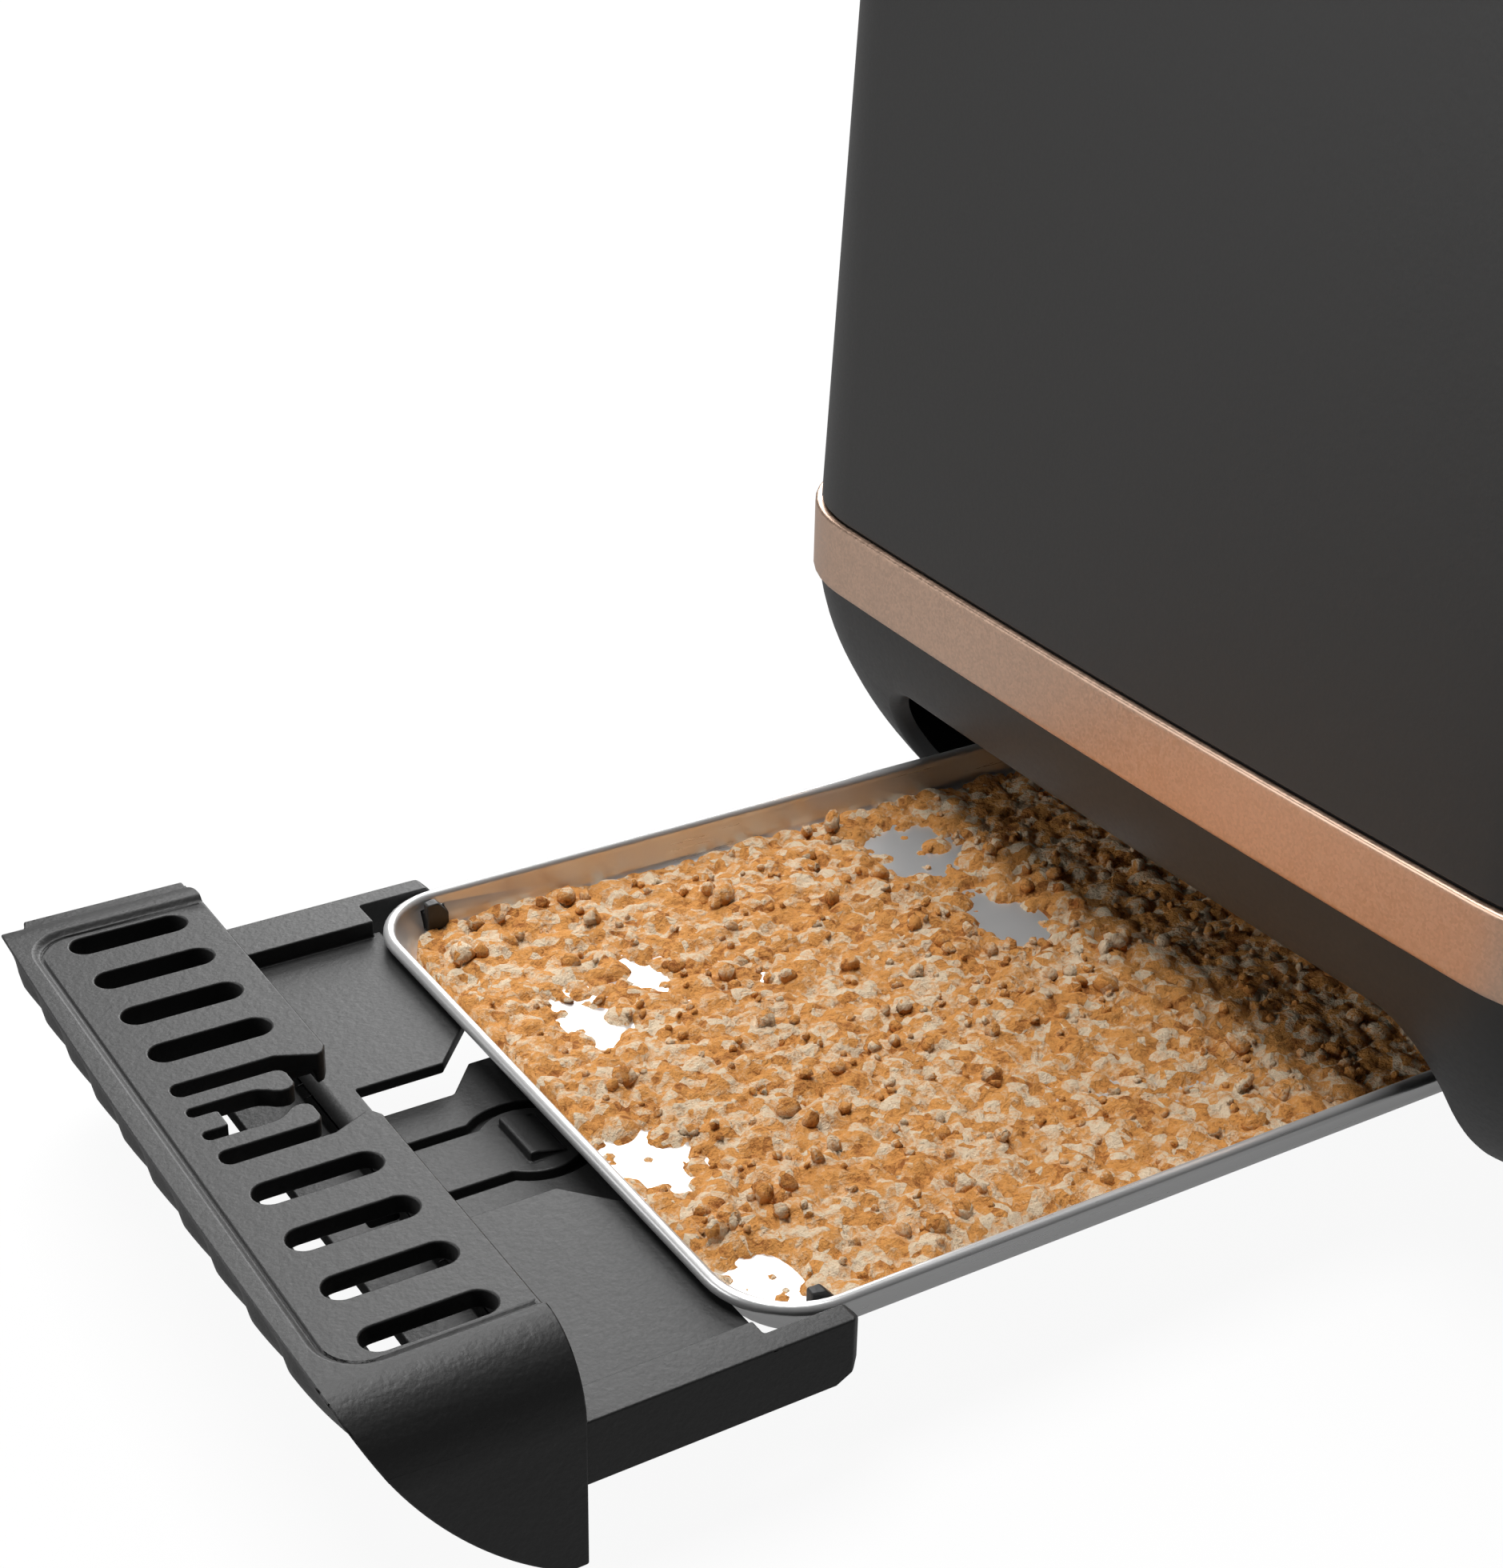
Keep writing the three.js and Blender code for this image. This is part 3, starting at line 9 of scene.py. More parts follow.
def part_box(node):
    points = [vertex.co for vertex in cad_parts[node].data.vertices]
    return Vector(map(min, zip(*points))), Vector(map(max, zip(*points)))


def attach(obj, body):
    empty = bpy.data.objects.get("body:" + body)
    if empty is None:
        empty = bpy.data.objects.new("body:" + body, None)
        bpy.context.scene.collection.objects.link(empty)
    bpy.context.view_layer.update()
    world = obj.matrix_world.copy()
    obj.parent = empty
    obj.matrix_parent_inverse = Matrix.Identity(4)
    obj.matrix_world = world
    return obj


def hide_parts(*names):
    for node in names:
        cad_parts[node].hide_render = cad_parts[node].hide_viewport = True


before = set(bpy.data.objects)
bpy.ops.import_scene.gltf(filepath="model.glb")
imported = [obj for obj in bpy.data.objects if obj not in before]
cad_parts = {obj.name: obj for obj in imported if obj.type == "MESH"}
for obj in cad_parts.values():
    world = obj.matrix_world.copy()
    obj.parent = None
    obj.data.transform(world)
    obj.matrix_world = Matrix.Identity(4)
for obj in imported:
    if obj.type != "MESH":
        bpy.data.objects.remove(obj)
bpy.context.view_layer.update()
mm = 0.001
print("frame loaded:", len(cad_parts), "nodes")


def nodeBox(node):
    # The lowest and highest corners of a node, in millimetres as all sizes here
    return [np.array(corner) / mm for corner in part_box(node)]


def nodeMiddle(node):
    # Half the sum of the two corners
    low, high = nodeBox(node)
    return (low + high) / 2


# The middle of the housing and the front of the pan's rim, where everything below is measured from
middleX = nodeMiddle("trim_band")[0]
rimX = nodeBox("crumb_pan")[0][0]

# Sizes that several pieces of the housing share; its foot is tucked in below the band
housing = dict(
    length=282, width=189.7, corner=26, shrink=0.3, bow=1.2, flatHalf=69,
    bandBottom=46.5, bandTop=58, baseBottom=3, taper=1.9, inset=0.8,
    tuckStart=0.9, tuckDepth=35, tuckHeight=46, tuckPower=1.6,
)


def gridFaces(rows, columns, closedRows=False):
    # Each cell joins a point to the next along its ring and to the same two on the ring above
    i = np.arange(rows if closedRows else rows - 1)[:, None]
    j = np.arange(columns)[None, :]
    up, along = (i + 1) % rows, (j + 1) % columns
    cells = (i * columns + j, i * columns + along, up * columns + along, up * columns + j)
    return np.stack(np.broadcast_arrays(*cells), -1).reshape(-1, 4)


def addObject(name, data):
    made = bpy.data.objects.new(name, data)
    bpy.context.scene.collection.objects.link(made)
    return made


def meshPiece(name, points, faces):
    # Points in millimetres become a mesh in metres
    mesh = bpy.data.meshes.new(name)
    mesh.from_pydata(np.asarray(points, float).reshape(-1, 3) * mm, [], faces)
    mesh.update()
    return addObject(name, mesh)


def loft(name, rings, closedRows=False):
    # A surface through closed rings; one face closes each end unless the last ring meets the first
    rows, columns = rings.shape[:2]
    faces = gridFaces(rows, columns, closedRows).tolist()
    if not closedRows:
        faces.append(list(range(columns))[::-1])
        faces.append(list(range((rows - 1) * columns, rows * columns)))
    return meshPiece(name, rings, faces)


def stacked(outlines, heights, axis="z"):
    # Outlines as rings, each at its own height along an axis; they are (x, y), (y, z) or (x, z)
    outlines = np.asarray(outlines, float)
    heights = np.broadcast_to(np.asarray(heights, float)[:, None, None], outlines.shape[:2] + (1,))
    order = {"z": (0, 1, 2), "x": (2, 0, 1), "y": (0, 2, 1)}[axis]
    return np.concatenate([outlines, heights], -1)[..., order]


def prism(outline, low, high, axis="z"):
    # One outline repeated at two heights along an axis
    outline = np.asarray(outline, float)
    if axis == "y":
        outline = outline[::-1]
    return loft("prism", stacked([outline, outline], [low, high], axis))


def block(x, y, z):
    # A box from three spans
    return prism([(x[0], y[0]), (x[1], y[0]), (x[1], y[1]), (x[0], y[1])], *z)


def around(centre, half):
    # The two ends of a span
    return centre - half, centre + half


def quarter(count):
    # Angles from nothing to a quarter of a turn
    return np.radians(np.linspace(0, 90, count))


def span(side, near, far):
    # Two distances from the middle, on one side of it, the lower end first
    return sorted((side * near, side * far))


def mirrored(outline, signs):
    # The outline turned over, still running the same way round
    return (np.asarray(outline, float) * signs)[::-1]


def onSide(side, outline):
    # An outline of the +Y side, or its mirror image
    return outline if side > 0 else mirrored(outline, (1, -1))


def circle(turn):
    # The points at these angles on a circle of radius one
    return np.stack([np.cos(turn), np.sin(turn)], -1)


def roundRect(x, y, radius, steps=8):
    # A quarter turn about each corner centre of two spans, without repeated points
    turn = (np.arange(4)[:, None] - 1 + np.linspace(0, 1, steps + 1)) * np.pi / 2
    (left, right), (low, high) = ((side[0] + radius, side[1] - radius) for side in (x, y))
    centres = np.array([(right, low), (right, high), (left, high), (left, low)])[:, None]
    points = (centres + radius * circle(turn)).reshape(-1, 2)
    return points[np.linalg.norm(points - np.roll(points, 1, 0), axis=1) > 1e-6]


def arc(centre, radius, start, end, steps):
    # Points of an arc, angles in degrees
    return np.array(centre) + radius * circle(np.radians(np.linspace(start, end, steps + 1)))


def turned(name, profile, steps=48, axis="z", at=(0, 0, 0), closed=False, seat=None, wave=None):
    # A profile of (radius, distance) carried round an axis; `wave` may change the radius on the way
    profile = np.asarray(profile, float)
    turn = np.linspace(0, 2 * np.pi, steps, endpoint=False)
    flat = circle(turn)[:, ::-1] if axis == "y" else circle(turn)
    radius = wave(profile[:, :1], turn) if wave else profile[:, :1]
    rings = stacked(radius[..., None] * flat, profile[:, 1], axis)
    return loft(name, seat(rings) if seat else rings + np.array(at), closed)


def rod(radius, low, high, steps, axis, **where):
    # A round cutter along an axis
    return turned("rod", [(radius, low), (radius, high)], steps, axis, **where)


def settle(piece):
    # What the modifiers make becomes the piece's own mesh
    bpy.context.view_layer.update()
    made = bpy.data.meshes.new_from_object(piece.evaluated_get(bpy.context.evaluated_depsgraph_get()))
    old = piece.data
    piece.modifiers.clear()
    piece.data = made
    made.name = piece.name
    bpy.data.meshes.remove(old)
    return piece


def combine(piece, others, operation="DIFFERENCE"):
    # The piece less the others, or joined or crossed with them; the others are used up
    for other in others:
        step = piece.modifiers.new(operation.lower(), "BOOLEAN")
        step.operation, step.solver, step.object = operation, "EXACT", other
    settle(piece)
    for other in others:
        bpy.data.objects.remove(other)
    return piece


def together(pieces):
    # Separate bodies in one mesh
    joined = bmesh.new()
    for piece in pieces:
        joined.from_mesh(piece.data)
        bpy.data.objects.remove(piece)
    mesh = bpy.data.meshes.new("together")
    joined.to_mesh(mesh)
    joined.free()
    return addObject("together", mesh)


def soften(piece, width, angle, cuts=()):
    # Edges sharper than the angle get a small round, and the cuts after it stay crisp
    bevel = piece.modifiers.new("edges", "BEVEL")
    bevel.width, bevel.segments = width * mm, 2
    bevel.limit_method, bevel.angle_limit = "ANGLE", math.radians(angle)
    bevel.use_clamp_overlap = False
    bevel.miter_outer = "MITER_ARC"
    combine(settle(piece), cuts)
    piece.data.shade_smooth()
    piece.modifiers.new("normals", "WEIGHTED_NORMAL").weight = 100
    return settle(piece)


def paint(piece, material):
    # One material in place of any other
    piece.data.materials.clear()
    piece.data.materials.append(material)


def place(piece, body, material, nodes, sharp=32):
    # The finish, the body that carries the piece, and the solids that it stands for
    paint(piece, material)
    if sharp:
        piece.data.shade_smooth()
        piece.data.set_sharp_from_angle(angle=math.radians(sharp))
    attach(piece, body)
    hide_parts(*nodes)


def operator(operation, swapped=False):
    # A method that joins a socket and a value, in either order, by a Math node
    def join(self, other):
        first, second = (other, self) if swapped else (self, other)
        return self.shader.node("Math", {"operation": operation}, {0: first, 1: second})

    return join


class Sock:
    # A socket that can be used in sums
    def __init__(self, shader, socket):
        self.shader, self.socket = shader, socket

    __add__, __radd__ = operator("ADD"), operator("ADD", True)
    __sub__, __rsub__ = operator("SUBTRACT"), operator("SUBTRACT", True)
    __mul__, __rmul__ = operator("MULTIPLY"), operator("MULTIPLY", True)
    __lt__ = operator("LESS_THAN")


class Shader:
    # The nodes of a material or of the world; scales are per metre, relief in millimetres
    def __init__(self, name, kind="materials"):
        self.owner = getattr(bpy.data, kind).new(name)
        self.owner.use_nodes = True
        self.tree = self.owner.node_tree
        self.tree.nodes.clear()
        self.point = self.node("TexCoord", output="Object")

    def node(self, kind, settings=None, sockets=None, output=0):
        # A node with its settings, and a link or a constant in each named socket
        made = self.tree.nodes.new("ShaderNode" + kind)
        for key, value in (settings or {}).items():
            if key == "stops":
                for stop, (position, colour) in zip(made.color_ramp.elements, value):
                    stop.position, stop.color = position, colour
            else:
                setattr(made, key, value)
        for key, value in (sockets or {}).items():
            if isinstance(value, Sock):
                self.tree.links.new(value.socket, made.inputs[key])
            else:
                made.inputs[key].default_value = value
        return Sock(self, made.outputs[output]) if len(made.outputs) else None

    def noise(self, scale, detail=2.0, stretch=(1, 1, 1), roughness=0.5):
        point = self.node("Mapping", None, {"Vector": self.point, "Scale": stretch})
        return self.node("TexNoise", None, {
            "Vector": point, "Scale": scale, "Detail": detail, "Roughness": roughness})

    def cells(self, scale, output="Color", feature="F1"):
        sockets = {"Vector": self.point, "Scale": scale}
        return self.node("TexVoronoi", {"feature": feature}, sockets, output)

    def cellTone(self, scale):
        # One random number for each cell
        return self.node("SeparateColor", None, {"Color": self.cells(scale)})

    def vary(self, value, *parts):
        # A number that each noise moves up and down by half of its share
        for noise, share in parts:
            value = value + (noise - 0.5) * share
        return value

    def ease(self, value, start, end):
        # Nothing at the start and one at the end, with a soft S between
        return self.node("MapRange", {"interpolation_type": "SMOOTHSTEP"},
                         {"Value": value, "From Min": start, "From Max": end})

    def blend(self, factor, first, second):
        # Two colours mixed by a number
        return self.node("Mix", {"data_type": "RGBA"}, {0: factor, 6: first, 7: second}, 2)

    def finish(self, colour, roughness, height, relief, constants=None):
        # A surface with bumps as high as the relief, and what else is constant on it
        normal = self.node("Bump", None, {"Height": height, "Distance": relief * mm, "Strength": 1.0})
        sockets = {"Base Color": colour, "Roughness": roughness, "Normal": normal, **(constants or {})}
        return self.close(self.node("BsdfPrincipled", None, sockets))

    def close(self, surface, kind="Material"):
        self.node("Output" + kind, None, {"Surface": surface})
        return self.owner


def grey(value, warm=0.0):
    # One value in three, with a little more red and less blue when warm
    return (value * (1 + warm), value, value * (1 - warm), 1)


def mouldedPlastic(name, colour, roughness, grain, grainSize):
    # Spark-textured plastic: two sizes of fine grain, and slow drifts of colour and gloss
    shader = Shader(name)
    fine = shader.noise(1000 / grainSize, 3.0)
    coarse = shader.noise(400 / grainSize, 1.0)
    drift = shader.noise(14)
    shade = shader.blend(drift, grey(colour * 0.94), grey(colour * 1.06))
    rough = shader.vary(roughness, (fine, 0.18), (drift, 0.08))
    return shader.finish(shade, rough, fine * 0.7 + coarse, grain)


def brushedSteel(name, colour, roughness, squeeze=30, lines=2600, depth=0.004, metallic=1.0):
    # Fine lines along X, from a noise that is squeezed the other two ways
    shader = Shader(name)
    grain = shader.noise(lines / 30, 4.0, (1, squeeze, squeeze), 0.65)
    cloud = shader.noise(22, 3.0)
    shade = shader.blend(cloud, grey(colour * 0.93), grey(colour * 1.04))
    rough = shader.vary(roughness, (grain, 0.12), (cloud, 0.1))
    return shader.finish(shade, rough, grain, depth, {"Metallic": metallic})


def roseGold(name, roughness, colour=(0.72, 0.5, 0.375), spread=(0.86, 1.1)):
    # Satin metallic coat with fine flakes
    shader = Shader(name)
    flake = shader.cellTone(2600)
    drift = shader.noise(18)
    shades = [tuple(share * part for part in colour) + (1,) for share in spread]
    shade = shader.blend(flake * 0.6 + drift * 0.4, *shades)
    rough = shader.vary(roughness, (flake, 0.12))
    return shader.finish(shade, rough, shader.noise(3200), 0.004, {"Metallic": 0.9})


def powderCoat(name, colour, roughness):
    # Matt paint with a close orange-peel skin
    shader = Shader(name)
    peel, mottle, drift = shader.noise(900), shader.noise(2600), shader.noise(9)
    shade = shader.blend(drift, grey(colour * 0.9, 0.01), grey(colour * 1.12, 0.01))
    rough = shader.vary(roughness, (mottle, 0.14), (drift, 0.05))
    return shader.finish(shade, rough, peel + mottle * 0.35, 0.02)


def rubberSole(name):
    # Dull black rubber with fine specks
    shader = Shader(name)
    speck = shader.noise(1800, 3.0)
    shade = shader.blend(speck, grey(0.012), grey(0.024))
    return shader.finish(shade, shader.vary(0.78, (speck, 0.2)), speck, 0.03)


def micaBoard():
    # Pale sheet with darker flakes
    shader = Shader("pressedMica")
    flake = shader.cells(260, "Distance")
    cloud = shader.noise(60, 4.0)
    shade = shader.blend(flake * 0.6 + cloud * 0.5, (0.5, 0.43, 0.32, 1), (0.3, 0.25, 0.18, 1))
    return shader.finish(shade, shader.vary(0.55, (cloud, 0.3)), flake, 0.05)


def heatedRibbon():
    # Resistance ribbon, blue to straw from heating
    shader = Shader("heatedRibbon")
    heat = shader.noise(90, 3.0, (1, 1, 4))
    stops = ((0.3, (0.18, 0.17, 0.2, 1)), (0.7, (0.32, 0.25, 0.19, 1)))
    shade = shader.node("ValToRGB", {"stops": stops}, {"Fac": heat})
    return shader.finish(shade, 0.35 + heat * 0.3, shader.noise(1500), 0.01, {"Metallic": 0.85})


def circuitBoard():
    # Green mask over wandering tracks
    shader = Shader("greenBoard")
    track = shader.cells(140, "Distance", "DISTANCE_TO_EDGE")
    line = track < 0.07
    shade = shader.blend(line, (0.012, 0.07, 0.03, 1), (0.03, 0.16, 0.06, 1))
    return shader.finish(shade, 0.35 + (1 - line) * 0.08, line, 0.03)


def copperWinding():
    # Turns of enamelled wire, one above the other; the grooves between the turns are painted darker as painted
    # shade
    shader = Shader("copperWinding")
    turns = shader.node("TexWave", {"wave_type": "BANDS", "bands_direction": "Z", "wave_profile": "SIN"},
                        {"Vector": shader.point, "Scale": 320, "Distortion": 0.2}, "Fac")
    # Painted shade: the colour is dark brown in each groove, where the bump is low, and copper on the turns
    shade = shader.blend(turns, (0.2, 0.06, 0.025, 1), (0.62, 0.25, 0.11, 1))
    return shader.finish(shade, 0.3 + (1 - turns) * 0.2, turns, 0.12, {"Metallic": 0.9})


shellPaint = powderCoat("blackPowderCoat", colour=0.03, roughness=0.5)
basePlastic = mouldedPlastic("satinBlackPlastic", colour=0.032, roughness=0.46, grain=0.016, grainSize=0.7)
trayPlastic = mouldedPlastic("grainedBlackPlastic", colour=0.022, roughness=0.48, grain=0.055, grainSize=0.45)
controlPlastic = mouldedPlastic("softTouchBlack", colour=0.018, roughness=0.42, grain=0.01, grainSize=0.5)
hiddenPlastic = mouldedPlastic("innerBlackPlastic", colour=0.02, roughness=0.55, grain=0.02, grainSize=0.8)
bandMetal = roseGold("roseGoldBand", roughness=0.38)
trimMetal = roseGold("roseGoldTrim", roughness=0.3)
panSteel = brushedSteel("polishedSteel", 0.8, 0.3, squeeze=22, lines=2400, depth=0.0015, metallic=0.62)
wireSteel = brushedSteel("brightWire", 0.6, 0.22)
sheetSteel = brushedSteel("galvanisedSteel", 0.42, 0.38, squeeze=8, lines=1500, depth=0.01)
print("materials ready")


def tuck(z):
    # How far the base stands inside the band at height z: a quarter of a superellipse
    share = np.clip((housing["bandBottom"] - np.asarray(z, float)) / housing["tuckHeight"], 0, 1)
    power = housing["tuckPower"]
    return housing["tuckStart"] + housing["tuckDepth"] * (1 - (1 - share ** power) ** (1 / power))


def endBow(y):
    # How far the bowed end of the housing falls back at distance y from the middle: a parabola
    return housing["bow"] * (y / housing["flatHalf"]) ** 2


def carried(profile, centre, length, width, corner, bow=0, sideSteps=14, cornerSteps=12):
    # A profile of (inset, height) carried round four sides, bowed as parabolas and joined by arcs
    profile = np.asarray(profile, float)
    inset = profile[:, :1]
    radius = np.maximum(1, corner - housing["shrink"] * inset) if bow else corner - inset
    halfLength, halfWidth = length / 2 - inset, width / 2 - inset
    endLean = np.arctan(2 * bow / (halfWidth - radius))
    sideLean = np.arctan(2 * bow / (halfLength - radius))
    centreX = halfLength - bow - radius * np.cos(endLean)
    centreY = halfWidth - bow - radius * np.cos(sideLean)
    endY = centreY + radius * np.sin(endLean)
    endX = centreX + radius * np.sin(sideLean)
    t = np.linspace(-1, 1, sideSteps, endpoint=False)[None, :]
    share = np.linspace(0, 1, cornerSteps, endpoint=False)[None, :]
    turn = endLean + (np.pi / 2 - endLean - sideLean) * share
    back = turn + np.pi / 2 - endLean + sideLean
    x = [halfLength - bow * t * t, centreX + radius * np.cos(turn),
         -t * endX, -centreX + radius * np.cos(back)]
    y = [t * endY, centreY + radius * np.sin(turn),
         halfWidth - bow * t * t, centreY + radius * np.sin(back)]
    half = np.stack([np.concatenate(x, 1), np.concatenate(y, 1)], -1)
    return stacked(np.concatenate([half, -half], 1) + (centre, 0), profile[:, 1])


def housingRings(profile):
    # (inset, height) points carried round the housing
    h = housing
    return carried(profile, middleX, h["length"], h["width"], h["corner"], h["bow"])


band = dict(edge=0.5, wall=1.2, rows=5)


def trimBand():
    # A flat outer face between two rounds, carried round the housing
    edge, wall = band["edge"], band["wall"]
    low, high = housing["bandBottom"], housing["bandTop"]
    profile = np.vstack([
        [(wall, low)], arc((edge, low + edge), edge, 270, 180, 4),
        [(0, z) for z in np.linspace(low + 1, high - 1, band["rows"])],
        arc((edge, high - edge), edge, 180, 90, 4), [(wall, high)]])
    return loft("trimBand", housingRings(profile), True)


shellSizes = dict(bottom=58.3, top=187.3, shoulder=16, wall=1.8, footIn=0.35, footUp=0.4)
bezel = dict(
    centre=-18, length=190, width=146, corner=28, top=189.2, thickness=1.6,
    ledge=4, opening=5, spigot=(5.3, 6.5), spigotDepth=5,
    slotY=33, slotHalfLength=73, slotHalfWidth=18, slotCorner=6,
    collar=1.2, collarDepth=13, groove=2.3, grooveDepth=0.8,
)


def shellInset(z):
    # The shell leans in by its taper
    rise = np.asarray(z, float) - shellSizes["bottom"]
    return housing["inset"] + rise * math.tan(math.radians(housing["taper"]))


def bezelRings(profile):
    # The same round the straight sides of the bezel
    return carried(profile, middleX + bezel["centre"], bezel["length"], bezel["width"], bezel["corner"])


def outerShell():
    # Up the tapered side, round the shoulder, over to the bezel's opening, and back inside
    s = shellSizes
    bottom, top, shoulder, wall = s["bottom"], s["top"], s["shoulder"], s["wall"]
    start = top - shoulder
    centre = float(shellInset(start)) + shoulder
    foot = float(shellInset(bottom))

    def side(depth, rows):
        # The straight taper and a quarter circle above it, both `depth` inside the outer face
        heights = np.linspace(bottom + s["footUp"], start - 1, rows)
        rise = np.column_stack([shellInset(heights) + depth, heights])
        return np.vstack([rise, (centre, start) + (shoulder - depth) * circle(quarter(13)) * (-1, 1)])

    outside = np.vstack([[(foot + s["footIn"], bottom)], side(0, 9)])
    edge = [(bezel["ledge"], top), (bezel["opening"], top), (bezel["opening"], top - wall)]
    inside = np.vstack([side(wall, 4)[::-1], [(foot + wall, bottom)]])
    rings = [housingRings(outside), bezelRings(edge), housingRings(inside)]
    return loft("outerShell", np.concatenate(rings), True)


controls = dict(
    lever=150, travel=75, slotHalf=2.2, slotPast=4.7, slotDepth=22,
    dialY=46, dialZ=96, shaftHole=3.7,
    buttonY=-46, buttons=(117, 96, 75), buttonHole=6.85, holeHalf=6,
)


def seatOn(y, z):
    # Turns and moves rings from a control's own axes to its seat on the tapered, bowed end
    swing = math.atan(2 * housing["bow"] * y / housing["flatHalf"] ** 2)
    turn = Matrix.Rotation(-math.radians(housing["taper"]), 3, "Y") @ Matrix.Rotation(swing, 3, "Z")
    face = housing["length"] / 2 - float(shellInset(z)) - endBow(y)
    return lambda rings: rings @ np.array(turn).T + np.array([middleX + face, y, z])


dialSeat = seatOn(controls["dialY"], controls["dialZ"])
buttonSeats = [seatOn(controls["buttonY"], z) for z in controls["buttons"]]


def shellHoles():
    # The lever's slot, the hole for the dial's shaft and one for each button
    c, deep = controls, controls["holeHalf"]
    end = middleX + housing["length"] / 2
    lever = block((end - c["slotDepth"], end + 1), around(0, c["slotHalf"]),
                  (c["lever"] - c["travel"] - c["slotPast"], c["lever"] + c["slotPast"]))
    buttons = [rod(c["buttonHole"], -deep, deep, 48, "x", seat=seat) for seat in buttonSeats]
    return [lever, rod(c["shaftHole"], -deep, deep, 32, "x", seat=dialSeat), *buttons]


opening = dict(
    half=60.8, top=33.6, shoulderWidth=9, shoulderHeight=10.3, foot=-2,
    round=1.7, before=1.5, ahead=8, end=-100,
)


def shoulders(half, top, wide, high, steps):
    # A quarter ellipse on the right, upwards, and the same on the left, downwards
    right = (half, top) - (1 - circle(quarter(steps + 1))) * (wide, high)
    return right, mirrored(right, (-1, 1))


def archRing(grow, sideRows=11, topRows=14):
    # Upright sides and a flat top joined by quarter ellipses, `grow` larger all round
    half, top = opening["half"] + grow, opening["top"] + grow
    wide, high = opening["shoulderWidth"] + grow, opening["shoulderHeight"] + grow
    right, left = shoulders(half, top, wide, high, 14)
    side = np.linspace(opening["foot"], top - high, sideRows + 1)[:-1]
    up = np.column_stack([np.full(sideRows, half), side])
    level = np.linspace(half - wide, wide - half, topRows + 2)[1:-1]
    over = np.column_stack([level, np.full(topRows, top)])
    return np.vstack([up, right, over, left, mirrored(up, (-1, 1))])


def trayOpening():
    # Arch-shaped rings that follow the face of the base, wider towards the outside by a round
    o, radius = opening, opening["round"]
    depths = np.append(-o["before"], radius * (1 - np.cos(quarter(8))))
    grows = radius - np.sqrt(radius ** 2 - (radius - np.clip(depths, 0, radius)) ** 2)
    y, z = np.moveaxis(np.stack([archRing(grow) for grow in grows]), -1, 0)
    x = tuck(np.maximum(z, housing["baseBottom"])) - housing["length"] / 2 + endBow(y) + depths[:, None]
    more, ends = ((1, 1), (0, 0)), (-housing["length"] / 2 - o["ahead"], o["end"])
    x = np.pad(x, more, constant_values=(ends, (0, 0))) + middleX
    y, z = (np.pad(part, more, "edge") for part in (y, z))
    return loft("opening", np.stack([x, y, z], -1))


base = dict(
    wall=2.2, wallDrop=1.6, wallFrom=3.5, wallTo=44, footIn=0.6, footInside=34,
    neck=[(1.5, 46.55), (1.5, 58), (3.2, 58), (3.2, 64), (5, 64), (5, 45)],
    glandZ=25, glandSeat=10, glandSeatDepth=0.6, glandHole=6.3,
)


def baseShell():
    # The tucked skirt outside, the neck that the band and the shell hide, and the inside
    b, foot = base, housing["baseBottom"]
    rise = housing["bandBottom"] - (housing["bandBottom"] - foot) * np.sin(quarter(30)[::-1])
    inner = rise[(rise > b["wallFrom"]) & (rise < b["wallTo"])][::-1]
    profile = np.vstack([
        [(tuck(foot) + b["footIn"], foot)], np.column_stack([tuck(rise), rise])[1:], b["neck"],
        np.column_stack([tuck(inner - b["wallDrop"]) + b["wall"], inner]), [(b["footInside"], foot)]])
    shell = loft("baseShell", housingRings(profile), True)
    face = housing["width"] / 2 - float(tuck(b["glandZ"])) - b["glandSeatDepth"]
    at = (nodeMiddle("cord_gland")[0], face, b["glandZ"])
    return combine(shell, [trayOpening(), rod(b["glandSeat"], 0, 20, 48, "y", at=at),
                           rod(b["glandHole"], -20, 1, 32, "y", at=at)])


place(trimBand(), "housing", bandMetal, ["trim_band"])
place(baseShell(), "housing", basePlastic, ["base_shell"], 30)
place(combine(outerShell(), shellHoles()), "housing", shellPaint, ["outer_shell"], 30)
print("housing made")


# Crumb tray; x is counted from the front of the pan's rim, y from the middle, z from the table
tray = dict(
    half=60, top=32.8, shoulderWidth=9, shoulderHeight=10.3, back=-25.3, face=-57,
    foot=3, wall=2.2, sideWall=1.2, edge=0.3, edgeAngle=38,
    panel=32, panelThickness=2.6, lip=1.8, lipDrop=4.4,
    recessHalf=49.8, recessFront=-49.2, recessCorner=5, recessWiden=1.2,
    seam=0.45, seamShort=0.7,
    grips=4, gripFirst=16.8, gripPitch=9.87, gripWidth=4.4, gripStart=-45, gripEnd=-29.1,
    padStart=11.2, padDrop=5.6,
    ribs=10, ribHalf=4.2, ribProud=1.15, ribTop=31.2, ribBottom=8, ribFade=(1.6, 5),
    faceBottom=8, faceEnd=3,
)
# Half of the latch's cut-out, in and out along a springy finger and the short tab beside it
latch = [
    (-24.3, 9.7), (-25.3, 8.7), (-26, 7.5), (-26.8, 7.1), (-31.7, 9.4), (-44.4, 9.4), (-45.1, 9.1),
    (-45.4, 8.4), (-45.4, 7.5), (-45.1, 6.8), (-44.4, 6.5), (-33, 6.5), (-32.1, 6.1), (-31.7, 5.2),
    (-31.7, 3), (-32.05, 2.25), (-32.8, 1.82), (-33.7, 1.85), (-34.6, 2.3), (-35.3, 2.95), (-36.3, 3.5),
    (-37.1, 3.65), (-44.7, 3.65), (-45.2, 3.45), (-45.4, 2.95), (-45.4, 2.3), (-45.25, 1.95), (-44.9, 1.8),
    (-42.2, 1.8), (-41.9, 1.5)]


def onTray(outline):
    # An outline moved from the rim's axes to the frame's
    return np.asarray(outline, float) + (rimX, 0)


